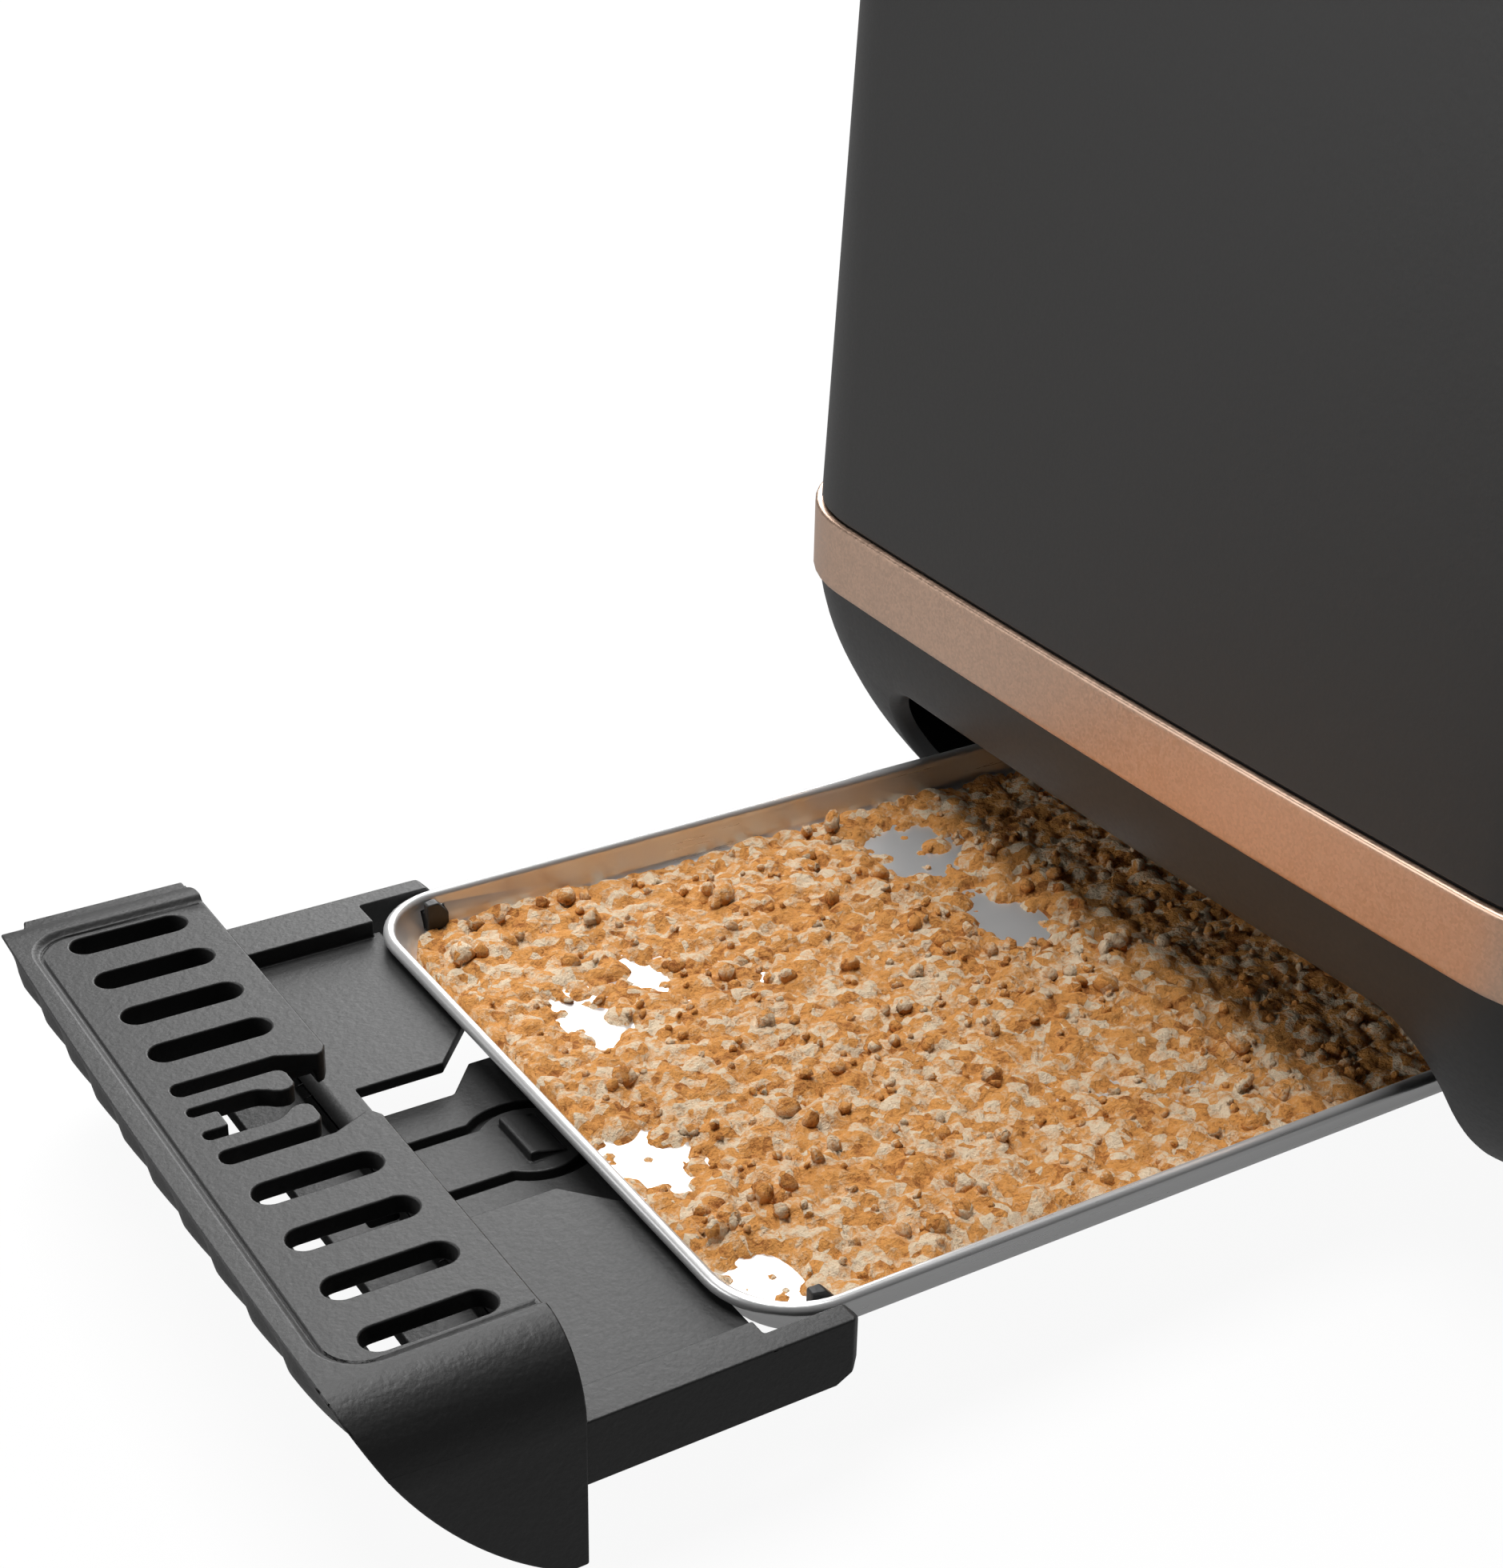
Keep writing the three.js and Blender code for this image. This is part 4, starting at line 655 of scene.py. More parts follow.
def trayBlock(x, y, z):
    # A box from three spans, x counted from the rim
    return block((rimX + x[0], rimX + x[1]), y, z)


def faceBlock(depth, back, bottom, top, columns, rows, ribbed=False):
    # Stations across the tray; each is the face from bottom to top and then the two back corners
    t = tray
    y = np.linspace(-t["half"] - 1, t["half"] + 1, columns)[:, None]
    z = bottom + (top - bottom) * (1 - np.cos(quarter(rows)))
    x = tuck(z) + t["face"] + endBow(y) + depth
    if ribbed:
        # Each rib is a lens across and fades in at its two ends
        last = (t["ribs"] - 1) / 2
        nearest = np.clip(np.round(y / t["gripPitch"] - 0.5) + 0.5, -last, last)
        share = np.clip(1 - ((y - nearest * t["gripPitch"]) / t["ribHalf"]) ** 2, 0, 1)
        high, low = t["ribFade"]
        ends = np.clip((t["ribTop"] - z) / high, 0, 1) * np.clip((z - t["ribBottom"]) / low, 0, 1)
        x = x - t["ribProud"] * share * np.sqrt(ends * (2 - ends))
    x = np.concatenate([x, np.full((columns, 2), back)], 1) + rimX
    z = np.append(z, (top, bottom))
    return loft("face", np.stack(np.broadcast_arrays(x, y, z), -1))


def archPrism(half, top, bottom, back):
    # The arch of the tray's front, carried back through its face
    right, left = shoulders(half, top, tray["shoulderWidth"], tray["shoulderHeight"], 18)
    outline = np.vstack([[(half, bottom)], right, left, [(-half, bottom)]])
    return prism(outline, rimX - 70, rimX + back, "x")


def recessCutter():
    # Rounded plans that widen upwards through a soft S
    t, share = tray, np.linspace(0, 1, 7)
    grow = t["recessWiden"] * np.append(share, 1)
    rise = np.append((t["top"] - t["panel"]) * (3 - 2 * share) * share ** 2, 2)
    plans = [onTray(roundRect((t["recessFront"] - g, t["back"] + 20), around(0, t["recessHalf"] + g),
                                 t["recessCorner"] + g, 10)) for g in grow]
    return loft("recess", stacked(plans, t["panel"] + rise))


def gripCutters(bottom):
    # Slots with round ends, in two groups beside the latch
    t, half, slots = tray, tray["gripWidth"] / 2, []
    for number in range(t["grips"]):
        for side in (-1, 1):
            y = side * (t["gripFirst"] + number * t["gripPitch"])
            outline = onTray(roundRect((t["gripStart"], t["gripEnd"]), around(y, half), half))
            slots.append(prism(outline, bottom, t["top"] + 1))
    return together(slots)


def seamCutter():
    # A narrow U that follows the foot of the recess's edge and ends just short of the back
    half, radius, wide = tray["recessHalf"], tray["recessCorner"], tray["seam"]
    end, centre = tray["back"] - tray["seamShort"], tray["recessFront"] + radius
    far, near = (centre, half - radius), (centre, radius - half)
    outline = np.vstack([
        [(end, half)], arc(far, radius, 90, 180, 10), arc(near, radius, 180, 270, 10),
        [(end, -half), (end, wide - half)],
        arc(near, radius - wide, 270, 180, 10), arc(far, radius - wide, 180, 90, 10), [(end, half - wide)]])
    return prism(onTray(outline), tray["panel"] - wide, tray["panel"] + 0.4)


def trayFront():
    # A thick arched face, hollowed from below, with a recessed panel that the slots and the latch go through
    t, back, panel = tray, tray["back"], tray["panel"]
    under = panel - t["panelThickness"]
    outside = combine(faceBlock(0, back, t["foot"], t["top"] + 0.9, 173, 34, True),
                      [archPrism(t["half"], t["top"], t["foot"] - 1, back + 1)], "INTERSECT")
    inside = combine(faceBlock(t["wall"], back + 2, t["foot"] - 1, under, 25, 20),
                     [archPrism(t["half"] - t["sideWall"], under, t["foot"] - 2, back + 3)], "INTERSECT")
    lip = trayBlock((back - t["lip"], back), around(0, t["recessHalf"]), (panel - t["lipDrop"], panel - 0.2))
    pad = trayBlock((t["gripStart"] - 3, back - 0.4), (t["padStart"], t["half"] - 3),
                    (panel - t["padDrop"], panel - 0.3))
    belowFace = trayBlock((-70, back + 1), around(0, t["half"] - t["faceEnd"]), (0, t["faceBottom"]))
    cutOut = prism(onTray([*mirrored(latch, (1, -1)), *latch]), panel - t["lipDrop"] - 1, t["top"] + 2)
    combine(outside, [inside])
    combine(outside, [lip, pad], "UNION")
    combine(outside, [recessCutter(), belowFace])
    combine(outside, [gripCutters(under - 5), cutOut])
    outside.name = "trayFront"
    return soften(outside, t["edge"], t["edgeAngle"], [seamCutter()])


# The holder behind the front: outlines are (x, y) plans unless a comment says otherwise
holder = dict(
    top=21.5, bottom=12.7, outer=58.5, farInner=50.3, nearInner=-52.8, bar=(-36, -0.45),
    front=-23.2, plateTop=18.8, plateThickness=1.7, plateRound=1.8, lowerTop=14.7,
    edge=0.28, edgeAngle=30, posts=(21.5, 45.8), wedgeHalf=4.6,
    prong=[(-2, 55.3), (10.4, 55.3), (11.2, 56.1), (11.2, 57), (9.7, 58.5), (-2, 58.5)],
    raised=[(-23.2, -54), (0.9, -54), (0.9, -23.8), (-6.1, -16), (-18.6, -16),
            (-18.6, 16), (-6.1, 16), (0.9, 23.8), (0.9, 51.5), (-23.2, 51.5)],
    lower=[(-32.3, -54), (-17, -54), (-17, -14.3), (-5.5, -14.3), (-0.6, -20), (11, -20),
           (11, 20), (-0.6, 20), (-5.5, 14.3), (-17, 14.3), (-17, 51.5), (-32.3, 51.5)],
    wedge=[(-3.8, -0.5), (1.4, -0.5), (1.4, 0.2), (-2.6, 1.4), (-3.8, 1.4)],  # (x, height)
)
tongue = dict(centre=-1.4, disc=7.2, gap=1.8, half=5.15, root=-27, web=0.4)
lug = dict(
    x=(8.1, 11.5), y=(51.2, 56), z=(16.9, 19.4), hookTop=21.3,
    hook=[(8.1, 50.6), (11.5, 50.6), (11.5, 52.8), (8.1, 52)],
    slope=[(8, 16), (11.6, 16), (11.6, 19.3), (9.8, 21.4), (8, 21.4)],  # (x, z)
)


def holderArm(side, inner):
    # A full-width bar in front of the pan and a slimmer prong beside it, chamfered at the end
    h, low, high = holder, holder["bottom"], holder["top"]
    bar = trayBlock(h["bar"], sorted((inner, side * h["outer"])), (low, high))
    prong = prism(onTray(onSide(side, h["prong"])), low, high)
    nose = [(-3, low), (7.6, low), (11.2, low + 2), (11.2, high - 1.2), (10, high), (-3, high)]
    return [bar, combine(prong, [prism(onTray(nose), *span(side, 50, 60), "y")], "INTERSECT")]


def tongueGroove():
    # The gap round a tongue that ends in a disc, as one outline
    centre, narrow, half, root = (tongue["centre"], 0), tongue["disc"], tongue["half"], tongue["root"]
    wide, wideHalf = narrow + tongue["gap"], half + tongue["gap"]
    out = math.degrees(math.asin(wideHalf / wide))
    within = math.degrees(math.asin(half / narrow))
    outer = arc(centre, wide, out - 180, 180 - out, 48)
    inner = arc(centre, narrow, 180 - within, within - 180, 40)
    return onTray(np.vstack([
        [(root, -wideHalf)], outer, [(root, wideHalf), (root, half)], inner, [(root, -half)]]))


def panLug(side):
    # A tongue through the pan's window, and a hook above it that slopes down at its tip
    hook = prism(onTray(onSide(side, lug["hook"])), lug["z"][0], lug["hookTop"])
    slope = prism(onTray(lug["slope"]), *span(side, 50, 54), "y")
    return [trayBlock(lug["x"], span(side, *lug["y"]), lug["z"]), combine(hook, [slope], "INTERSECT")]


def trayFrame():
    # Two arms, a raised plate with a curled front edge on a skirt, a lower plate, posts, a wedge and lugs
    h, low = holder, holder["lowerTop"] - 0.5
    front, top, lowerTop, curl = h["front"], h["plateTop"], h["lowerTop"], h["plateRound"]
    whole, *bodies = holderArm(1, h["farInner"]) + holderArm(-1, h["nearInner"])
    nose = np.vstack([
        [(front, low)], arc((front + curl, top - curl), curl, 180, 90, 8), [(5, top), (5, low)]])
    raised = combine(prism(onTray(h["raised"]), top - h["plateThickness"], top),
                     [prism(onTray(nose), -60, 60, "y")], "INTERSECT")
    skirt = prism(onTray([
        (front, low), (front + 1.2, low), (front + 1.2, top - 1.5), (front, top - 1.9)]), -53, 50.5, "y")
    lower = prism(onTray(h["lower"]), h["bottom"], lowerTop)
    posts = [trayBlock((-22.9, -18.9), around(side * y, 1.5), (lowerTop - 1, top - 1))
             for side in (-1, 1) for y in h["posts"]]
    wedge = prism(onTray(h["wedge"]) + (0, lowerTop), *around(0, h["wedgeHalf"]), "y")
    combine(whole, [*bodies, raised, lower, skirt, *posts], "UNION")
    combine(whole, [prism(tongueGroove(), h["bottom"] + tongue["web"], lowerTop + 1)])
    combine(whole, [wedge, *panLug(-1), *panLug(1)], "UNION")
    whole.name = "trayFrame"
    return soften(whole, h["edge"], h["edgeAngle"])


pan = dict(
    length=196, width=110, corner=12, rim=21.5, depth=6.5, sheet=0.8, bead=0.9,
    draft=0.9, bend=2.5, flat=9, ahead=1.2, lean=1.1, leanHeight=2.7, leanReach=(4, 14),
    windowX=(7.8, 11.8), windowY=(50.6, 56), windowZ=(16.6, 19.6),
)


def crumbPan():
    # Outside of the floor, up the wall, over the rolled bead, down the inside and across the floor
    p = pan
    sheet, bead, bend, flat = p["sheet"], p["bead"], p["bend"], p["flat"]
    wall, floor, below = 2 * bead - sheet, p["rim"] - p["depth"], p["rim"] - 2 * bead
    inside, bendIn = floor + sheet, bend - sheet
    profile = np.vstack([
        [(flat, floor), (5.5, floor)],
        arc((wall + p["draft"] + bend, floor + bend), bend, 270, 180, 6),
        [(wall, below - 0.15)], arc((bead, p["rim"] - bead), bead, 270, 0, 18), [(wall + sheet, below + 0.3)],
        arc((wall + sheet + p["draft"] + bendIn, inside + bendIn), bendIn, 180, 270, 6),
        [(6.5, inside), (flat, inside)]])
    rings = carried(profile, rimX + (p["length"] - p["ahead"]) / 2, p["length"] + p["ahead"], p["width"],
                    p["corner"], 0, 6)
    # The front wall leans: below the bead, points near the front move back as they go down
    near, far = p["leanReach"]
    share = np.clip((below - rings[..., 2]) / p["leanHeight"], 0, 1)
    rings[..., 0] += p["lean"] * share * np.clip((rimX + far - rings[..., 0]) / (far - near), 0, 1)
    windows = [trayBlock(p["windowX"], span(side, *p["windowY"]), p["windowZ"]) for side in (-1, 1)]
    return combine(loft("crumbPan", rings), [together(windows)])


place(trayFront(), "tray", trayPlastic, ["tray_front"], 0)
place(trayFrame(), "tray", trayPlastic, ["tray_frame"], 0)
place(crumbPan(), "tray", panSteel, ["crumb_pan"], 35)
print("crumb tray made")


crumbLook = dict(
    cells=560, patches=70, cloud=850, shares=(0.4, 0.25, 0.85), pale=(0.69, 0.97), dark=(0.67, 0.43),
    crust=(0.88, 0.4, 0.11, 1), soft=(0.98, 0.78, 0.55, 1), burnt=(0.42, 0.14, 0.034, 1), relief=1.6,
)


def toastedCrumb():
    # One tone for each cell, with clouds over it: soft crumb where it is high, burnt where it is low
    look, shader = crumbLook, Shader("toastedCrumb")
    cell = shader.cellTone(look["cells"])
    patch = shader.noise(look["patches"], 3.0)
    fine = shader.noise(look["cloud"], 5.0, roughness=0.7)
    ofCell, ofPatch, ofFine = look["shares"]
    tone = cell * ofCell + patch * ofPatch + fine * ofFine
    shade = shader.blend(shader.ease(tone, *look["pale"]), look["crust"], look["soft"])
    shade = shader.blend(shader.ease(tone, *look["dark"]), shade, look["burnt"])
    return shader.finish(shade, shader.vary(0.86, (fine, 0.2)), fine + cell * 0.3, look["relief"],
                         {"Specular IOR Level": 0.2})


# Crumbs lying in the pan; a bare spot is (x, y, half length, half width) from the rim and the middle
crumbs = dict(
    seed=5, margin=3.4, columns=320, rows=176, depth=0.9, sizes=(3.9, 2.3, 1.4),
    domeRadius=(0.34, 0.34), domeHeight=0.62, heap=1.1, wave=0.3, sink=0.7, lift=0.35,
    bare=[(84, 37, 12, 13), (84, 15, 8, 13), (18, 18, 6, 11), (9, -13, 7, 11), (8, -42, 7, 11), (30, 27, 4, 7),
          (42, -50, 18, 3)],
    singles=760, singleRadius=(0.55, 1.15), singleSquash=(0.65, 1.2), singleWaves=(0.22, 0.12),
    singleEnds=(6, 8), singleHalf=49,
)
panFloor = pan["rim"] - pan["depth"] + pan["sheet"]


def covered(x, y):
    # One where crumbs lie, falling to nothing inside each bare spot
    share = np.ones_like(x)
    for spotX, spotY, halfX, halfY in crumbs["bare"]:
        reach = np.hypot((x - spotX) / halfX, (y - spotY) / halfY)
        share = np.minimum(share, np.clip((reach - 0.5) / 0.6, 0, 1))
    return share


def crumbHeight(x, y, table=128):
    # A low heap in waves, and on it the highest of many domes: one for each cell of three grids, off its middle
    c = crumbs
    waves = c["heap"] + c["wave"] * np.sin(x / 11 + 1.7 * np.sin(y / 17)) + c["wave"] * np.sin(y / 7 + x / 23)
    heap = covered(x, y) ** 0.5 * waves - c["sink"]
    top = np.zeros_like(x)
    for number, size in enumerate(c["sizes"]):
        dice = np.random.default_rng(c["seed"] + number).random((4, table, table))
        column, row = np.floor(x / size).astype(int), np.floor(y / size).astype(int)
        for i, j in np.ndindex(3, 3):
            offX, offY, grow, chance = dice[:, (column + i) % table, (row + j) % table]
            domeX, domeY = (column + i - 1 + offX) * size, (row + j - 1 + offY) * size
            radius = size * (c["domeRadius"][0] + c["domeRadius"][1] * grow)
            inside = np.clip(1 - ((x - domeX) ** 2 + (y - domeY) ** 2) / radius ** 2, 0, 1)
            dome = c["domeHeight"] * radius * np.sqrt(inside)
            top = np.where(chance < 0.1 + 0.75 * covered(domeX, domeY), np.maximum(top, dome), top)
    return c["depth"] * (heap + np.where(top > 0, top + c["lift"], 0))


def crumbHeap():
    # A grid over the pan's floor, narrowed round its corners; its border goes down to a flat underside
    rows, columns, margin = (crumbs[key] for key in ("rows", "columns", "margin"))
    halfLength, halfWidth = pan["length"] / 2 - margin, pan["width"] / 2 - margin
    corner = pan["corner"] - margin
    x = np.linspace(-halfLength, halfLength, columns)[None, :]
    past = np.clip(np.abs(x) - halfLength + corner, 0, corner)
    y = np.linspace(-1, 1, rows)[:, None] * (halfWidth - corner + np.sqrt(corner ** 2 - past ** 2))
    x = np.broadcast_to(x + pan["length"] / 2, y.shape)
    z = panFloor + np.maximum(crumbHeight(x, y), -0.3)
    z[[0, -1]] = z[:, [0, -1]] = panFloor - 0.4
    index = np.arange(y.size).reshape(y.shape)
    faces = gridFaces(rows, columns).reshape(rows - 1, columns, 4)[:, :-1].reshape(-1, 4).tolist()
    border = np.concatenate([index[0, :-1], index[:-1, -1], index[-1, :0:-1], index[:0:-1, 0]])
    return meshPiece("crumbHeap", np.stack([x + rimX, y, z], -1), faces + [border[::-1].tolist()])


def singleCrumbs(rings=5, points=8):
    # Balls with a wavy radius, squeezed and turned each its own way, lying on the heap
    c = crumbs
    random = np.random.default_rng(c["seed"])
    low, high = (c["singleEnds"][0], -c["singleHalf"]), (pan["length"] - c["singleEnds"][1], c["singleHalf"])
    spots = random.uniform(low, high, (4 * c["singles"], 2))
    spots = spots[random.random(len(spots)) < 0.12 + 0.8 * covered(*spots.T)][:c["singles"]]
    count = len(spots)
    radius = c["singleRadius"][0] + c["singleRadius"][1] * random.random(count) ** 4
    polar = np.radians(np.linspace(25, 155, rings))[None, :, None]
    turn = np.linspace(0, 2 * np.pi, points, endpoint=False)[None, None, :]
    phase = random.uniform(0, 6.3, (3, count, 1, 1))
    big, small = c["singleWaves"]
    wavy = 1 + big * np.sin(3 * turn + phase[0]) * np.sin(polar + phase[1])
    wavy = wavy + small * np.sin(2 * polar + phase[2])
    ball = np.stack(np.broadcast_arrays(
        np.sin(polar) * np.cos(turn), np.sin(polar) * np.sin(turn), np.cos(polar)), -1) * wavy[..., None]
    ball = ball * random.uniform(*c["singleSquash"], (count, 1, 1, 3))
    spin = np.linalg.qr(random.normal(size=(count, 3, 3)))[0]
    spin = spin * np.linalg.det(spin)[:, None, None]
    ball = np.einsum("nrci,nij->nrcj", ball, spin) * radius[:, None, None, None]
    highest = pan["depth"] - pan["sheet"] - 0.3 - 1.5 * radius
    height = np.minimum(crumbHeight(*spots.T) + 0.3 * radius, highest)
    centre = np.column_stack([spots[:, 0] + rimX, spots[:, 1], panFloor + height])
    whole = rings * points
    sides = gridFaces(rings, points).tolist() + [list(range(points))[::-1], list(range(whole - points, whole))]
    faces = [[corner + whole * number for corner in side] for number in range(count) for side in sides]
    return meshPiece("singleCrumbs", ball + centre[:, None, None, :], faces)


crumbTone = toastedCrumb()
for piece in (crumbHeap(), singleCrumbs()):
    paint(piece, crumbTone)
    piece.data.shade_smooth()
    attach(piece, "tray")
print("crumbs laid")


def slotOutline(y, grow):
    # The bread slot's outline, `grow` larger all round
    b, x = bezel, middleX + bezel["centre"]
    return roundRect(around(x, b["slotHalfLength"] + grow), around(y, b["slotHalfWidth"] + grow),
                     b["slotCorner"] + grow)


def topBezel():
    # Plate with two slots, each with a collar hanging into the housing
    b, top = bezel, bezel["top"]
    bottom = top - b["thickness"]
    within, past = b["spigot"]
    plate = loft("topBezel", bezelRings([(0, bottom), (0, top - 0.5), (0.15, top - 0.15), (0.5, top)]))
    low, high = bottom - b["spigotDepth"], bottom + 0.1
    spigot = loft("spigot", bezelRings([(within, low), (within, high), (past, high), (past, low)]), True)

    def pair(grow, low, high):
        return together([prism(slotOutline(y, grow), low, high) for y in (-b["slotY"], b["slotY"])])

    combine(plate, [spigot, pair(b["collar"], bottom - b["collarDepth"], bottom + 0.2)], "UNION")
    return combine(plate, [pair(0, bottom - 20, top + 1), pair(b["groove"], top - b["grooveDepth"], top + 1)])


trimProfile = [  # (outwards, height)
    (2, 188.7), (2, 189.5), (1.85, 189.85), (1.5, 190), (0.5, 190), (0.15, 189.85), (0, 189.5), (0, 188.7)]


def slotTrim(name, y):
    # A flat ring with rounded edges, carried round the slot
    grows, heights = zip(*trimProfile)
    return loft(name, stacked([slotOutline(y, grow) for grow in grows], heights), True)


knob = dict(
    width=46, height=13, depth=18, edge=3.2, back=[(1.4, 0), (0.5, 0.25), (0, 1.2)],
    dish=[(4.6, -0.15), (5.6, -0.4)], pocketDepth=9.3, pocketHalf=(1.8, 4.3),
)


def leverKnob():
    # Rounded bar: each ring is smaller by the edge's round, and the front is slightly dished
    k, edge, depth = knob, knob["edge"], knob["depth"]
    x, z = nodeBox("lever_knob")[0][0], controls["lever"]
    front = [(edge * (1 - np.cos(a)), depth - edge * (1 - np.sin(a))) for a in quarter(9)]
    insets, reaches = zip(*k["back"], *front, *((inset, depth + dip) for inset, dip in k["dish"]))
    outlines = [roundRect(around(0, k["width"] / 2 - inset), around(0, k["height"] / 2 - inset),
                          (k["height"] / 2 - inset) * 0.98, 12) + (0, z) for inset in insets]
    rings = stacked(outlines, np.array(reaches) + x, "x")
    pocket = block((x - 1, x + k["pocketDepth"]), around(0, k["pocketHalf"][0]), around(z, k["pocketHalf"][1]))
    return combine(loft("leverKnob", rings), [pocket])


# Turned pieces, each profile as (radius, distance along the axis)
dial = dict(
    flutes=36, fluteDepth=0.35, fluteFrom=15.5, pointerHalf=1.1, pointer=(3, 14.6),
    profile=[(2.4, -20), (3, -19.4), (3, 0.3), (15.2, 0.3), (15.8, 0.7), (16, 1.4), (16, 11.4),
             (15.8, 12.2), (15.2, 12.7), (14.2, 13), (11.5, 13), (10.8, 12.6), (6, 12.2), (2, 12.1)],
)
ringProfile = [
    (16.7, 0.3), (19.3, 0.3), (19.3, 1), (19.15, 1.3), (18.9, 1.4), (17.1, 1.4), (16.85, 1.3), (16.7, 1)]
buttonProfile = [
    (2, -3.3), (8.3, -3.3), (8.3, -2.1), (6.5, -2.1), (6.5, 2.2), (6.35, 2.65), (6.05, 2.9), (5.6, 3),
    (5.1, 2.95), (4, 2.75), (2, 2.6), (0.6, 2.58)]
footProfile = [(5.6, 0), (6.9, 0), (7.6, 0.3), (8, 1), (8, 2.7), (3, 2.7), (3, 6.2), (2.6, 6.9), (1, 7)]
glandProfile = [
    (3.6, -10), (6, -10), (6, 0), (8.6, 0), (9, 0.4), (9, 1.5), (8.6, 2), (7.4, 2.2), (6.6, 2.8), (6.4, 6.2),
    (6, 6.9), (5.2, 7), (3.9, 7), (3.6, 6.7)]


def browningDial():
    # Turned knob with fine flutes round its side and a raised pointer
    d = dial

    def fluted(radius, turn):
        # The radius less a clipped cosine, only where the profile is wide
        depth = (radius > d["fluteFrom"]) * d["fluteDepth"]
        return radius - depth * np.clip(np.cos(d["flutes"] * turn), -0.2, 1)

    body = turned("browningDial", d["profile"], 288, "x", seat=dialSeat, wave=fluted)
    outline = roundRect(around(0, d["pointerHalf"]), d["pointer"], 1.05, 5)
    centre = np.array([0, sum(d["pointer"]) / 2])
    outlines = [(outline - centre) * shrink + centre for shrink in (1, 1, 0.86)]
    pointer = loft("pointer", dialSeat(stacked(outlines, (11.6, 13.9, 14.15), "x")))
    return combine(body, [pointer], "UNION")


def turnedAt(name, node, profile, axis, start, closed=False):
    # A turned piece on a node's own axis, whose profile counts from `start` past the node's low end
    at, along = nodeMiddle(node), "xyz".index(axis)
    at[along] = nodeBox(node)[0][along] + start
    return turned(name, profile, 48, axis, at, closed)


place(topBezel(), "housing", basePlastic, ["top_bezel"])
place(slotTrim("slotTrimRight", -bezel["slotY"]), "housing", trimMetal, ["slot_trim_right"])
place(slotTrim("slotTrimLeft", bezel["slotY"]), "housing", trimMetal, ["slot_trim_left"])
place(leverKnob(), "carriage", controlPlastic, ["lever_knob"])
place(browningDial(), "dial", controlPlastic, ["browning_dial"])
dialRing = turned("dialRing", ringProfile, 96, "x", closed=True, seat=dialSeat)
place(dialRing, "housing", trimMetal, ["dial_ring"])
for label, seat in zip(("cancel", "defrost", "reheat"), buttonSeats):
    button, node = turned(label + "Button", buttonProfile, 64, "x", seat=seat), label + "_button"
    place(button, node, controlPlastic, [node])
for number in range(1, 5):
    node = f"foot_{number}"
    foot = turnedAt(f"foot{number}", node, footProfile, "z", 0)
    place(foot, "housing", rubberSole(f"footRubber{number}"), [node])
gland = turnedAt("cordGland", "cord_gland", glandProfile, "y", 10, True)
place(gland, "housing", hiddenPlastic, ["cord_gland"])
print("top, controls and feet made")


def numbered(stem):
    # The stem with each number from 1 to 4
    return [f"{stem}_{number}" for number in range(1, 5)]


# The pieces that keep the shape of the frame, each with its finish
finishes = [
    (sheetSteel, ["base_plate", "chassis_front", "chassis_rear", "heat_shield_right", "heat_shield_left",
                  "carriage_bracket", "bread_rack_right", "bread_rack_left", "armature_plate",
                  *numbered("base_screw"), "lift_spring"]),
    (wireSteel, ["guide_rod", *numbered("bread_guide")]),
    (hiddenPlastic, ["tray_runner_right", "tray_runner_left", "browning_control"]),
    (micaBoard(), numbered("heater_board")),
    (heatedRibbon(), numbered("heater_element")),
    (circuitBoard(), ["control_board"]),
    (copperWinding(), ["hold_magnet"]),
]
for material, nodes in finishes:
    for node in nodes:
        paint(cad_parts[node], material)
print("frame pieces finished")


# Studio, in metres: pale floor and backdrop, a wide lamp overhead, one low behind and one at the side
studio = dict(floorHalf=4, floorDrop=0.0005, floor=0.08, seen=0.9, glossy=0.33, camera=0.93, world=0.03)
lamps = dict(
    overheadLamp=dict(centre=(-0.25, 0.5, 2.1), aim=(-0.2, 0, 0), size=1.2, watts=48),
    backLamp=dict(centre=(0.9, 1.3, 0.9), aim=(-0.1, 0, 0.05), size=1.3, watts=29.5),
    sideLamp=dict(centre=(-1.08, 0.44, 0.36), aim=(0.05, -0.03, 0.1), size=0.75, watts=5),
)


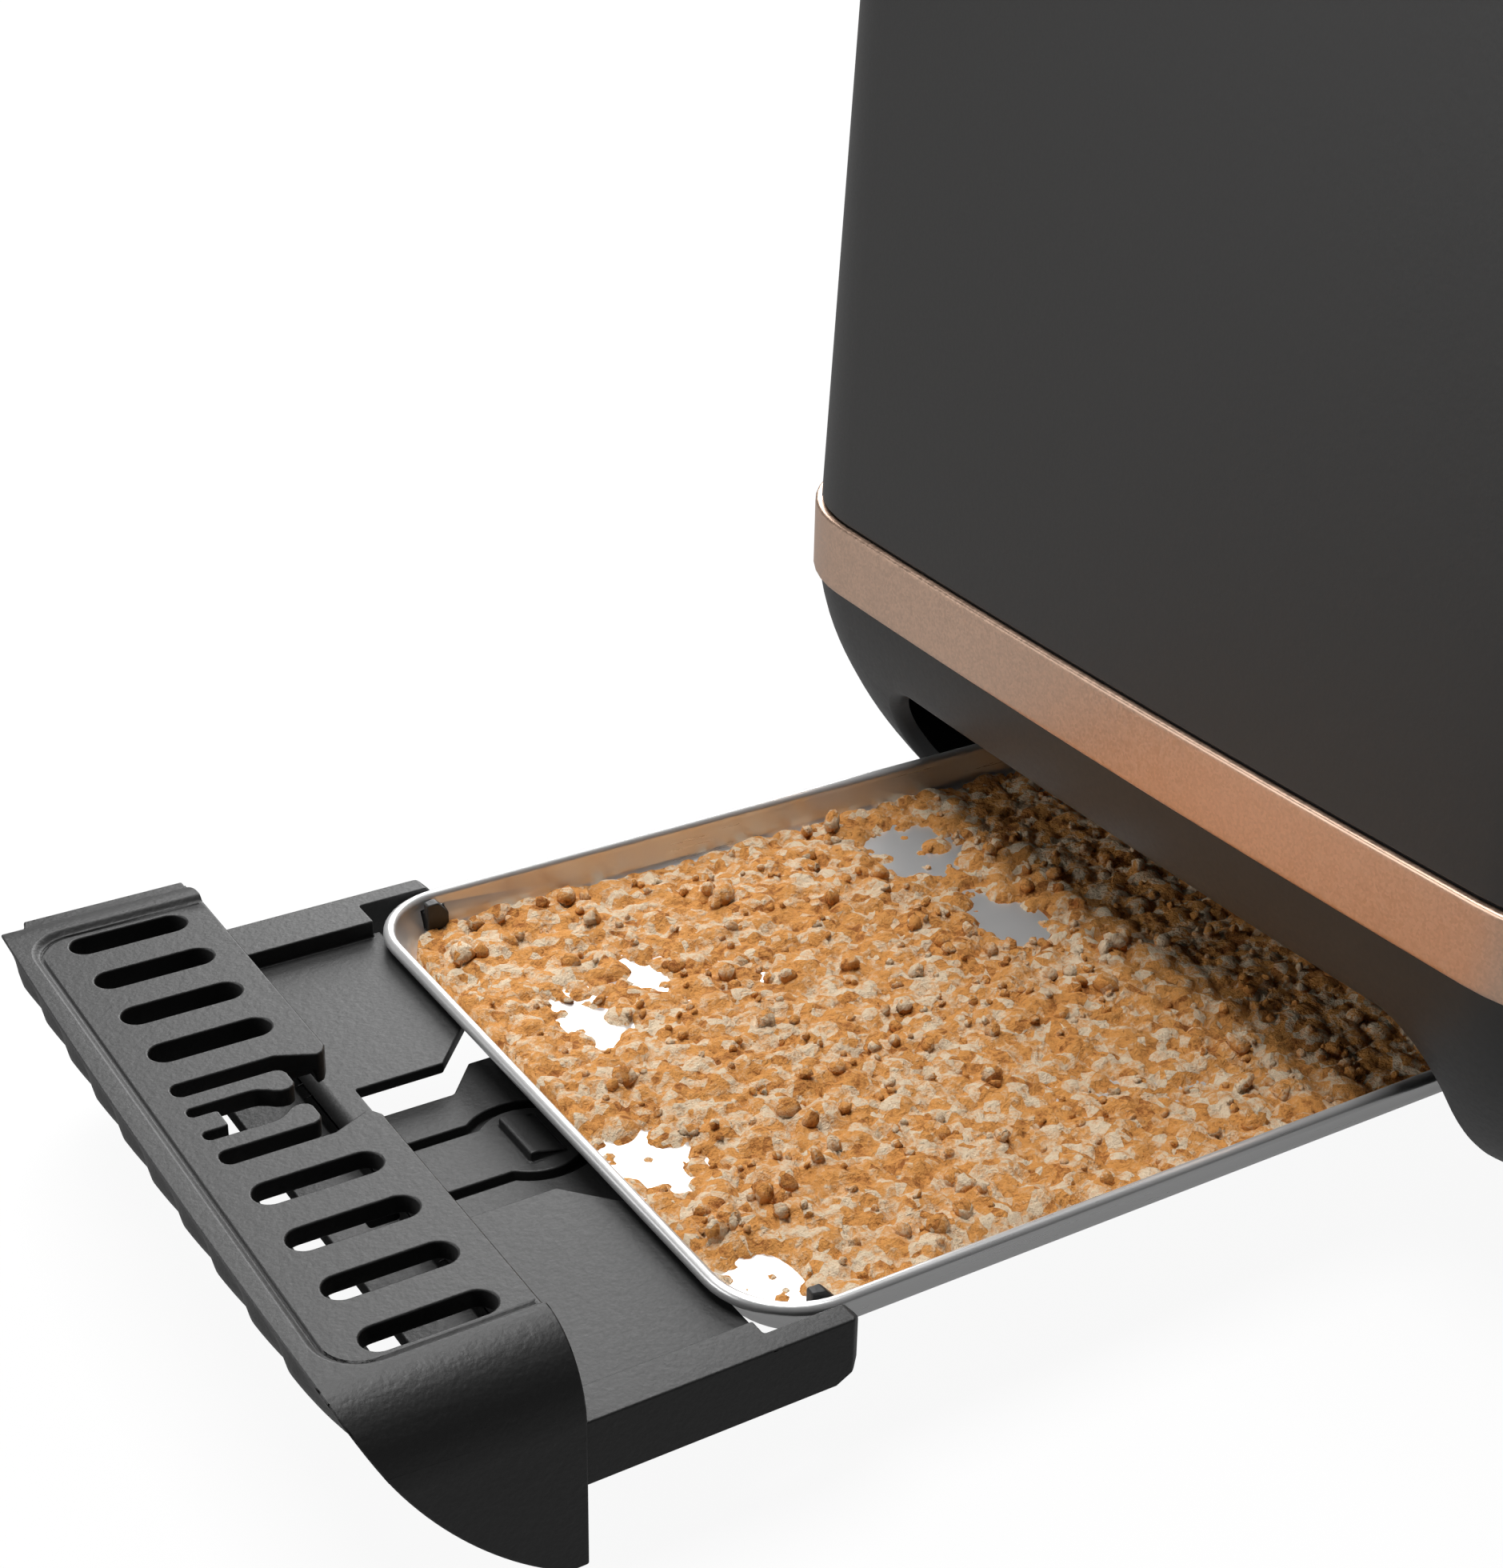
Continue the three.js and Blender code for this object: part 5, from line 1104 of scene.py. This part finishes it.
def paleFloor():
    # Dim where the lamps light it, and white to the camera and in gloss
    shader = Shader("paleFloor")
    path, glossy, through = (shader.node("LightPath", output=f"Is {kind} Ray")
                             for kind in ("Camera", "Glossy", "Transmission"))
    shade = shader.blend(path, grey(studio["floor"]), grey(studio["seen"]))
    lit = shader.node("BsdfDiffuse", None, {"Color": shade})
    white = shader.node("Emission", None, {"Color": grey(1.0), "Strength": 1.0})
    share = path * studio["camera"] + glossy * studio["glossy"] + through * studio["camera"]
    return shader.close(shader.node("MixShader", None, {0: share, 1: lit, 2: white}))


def studioWorld():
    # A faint even light, and white to the camera
    shader = Shader("studioWorld", "worlds")
    path = shader.node("LightPath", output="Is Camera Ray")
    soft, white = (shader.node("Background", None, {"Color": grey(1.0), "Strength": strength})
                   for strength in (studio["world"], 1.0))
    return shader.close(shader.node("MixShader", None, {0: path, 1: soft, 2: white}), "World")


def makeStudio():
    # The floor, the world, and square lamps that look from their centre to their aim
    half, z = studio["floorHalf"] / mm, -studio["floorDrop"] / mm
    corners = [(-half, -half, z), (half, -half, z), (half, half, z), (-half, half, z)]
    floor = meshPiece("floor", corners, [(0, 1, 2, 3)])
    paint(floor, paleFloor())
    bpy.context.scene.world = studioWorld()
    for name, lamp in lamps.items():
        light = bpy.data.lights.new(name, "AREA")
        light.shape, light.size, light.energy = "SQUARE", lamp["size"], lamp["watts"]
        holder = addObject(name, light)
        holder.location = lamp["centre"]
        ahead = Vector(lamp["aim"]) - Vector(lamp["centre"])
        holder.rotation_euler = ahead.to_track_quat("-Z", "Y").to_euler()


view = dict(ahead=-0.12665, side=-0.2519, height=0.21053, yaw=32.05, pitch=27.182, roll=1.15, lens=60.275)


def makeCamera():
    # Yaw from +Y towards +X, pitch downwards, and a slight roll
    camera = bpy.data.cameras.new("camera")
    camera.lens, camera.clip_start = view["lens"], 0.01
    camera.sensor_fit, camera.sensor_height, camera.sensor_width = "VERTICAL", 36, 36
    holder = addObject("camera", camera)
    yaw, pitch, roll = (math.radians(view[key]) for key in ("yaw", "pitch", "roll"))
    turn = (Matrix.Rotation(-yaw, 4, "Z") @ Matrix.Rotation(math.pi / 2 - pitch, 4, "X")
            @ Matrix.Rotation(roll, 4, "Z"))
    holder.matrix_world = Matrix.Translation((rimX * mm + view["ahead"], view["side"], view["height"])) @ turn
    bpy.context.scene.camera = holder


makeStudio()
makeCamera()
bpy.context.scene.view_settings.view_transform = "Standard"
print("studio and camera set")
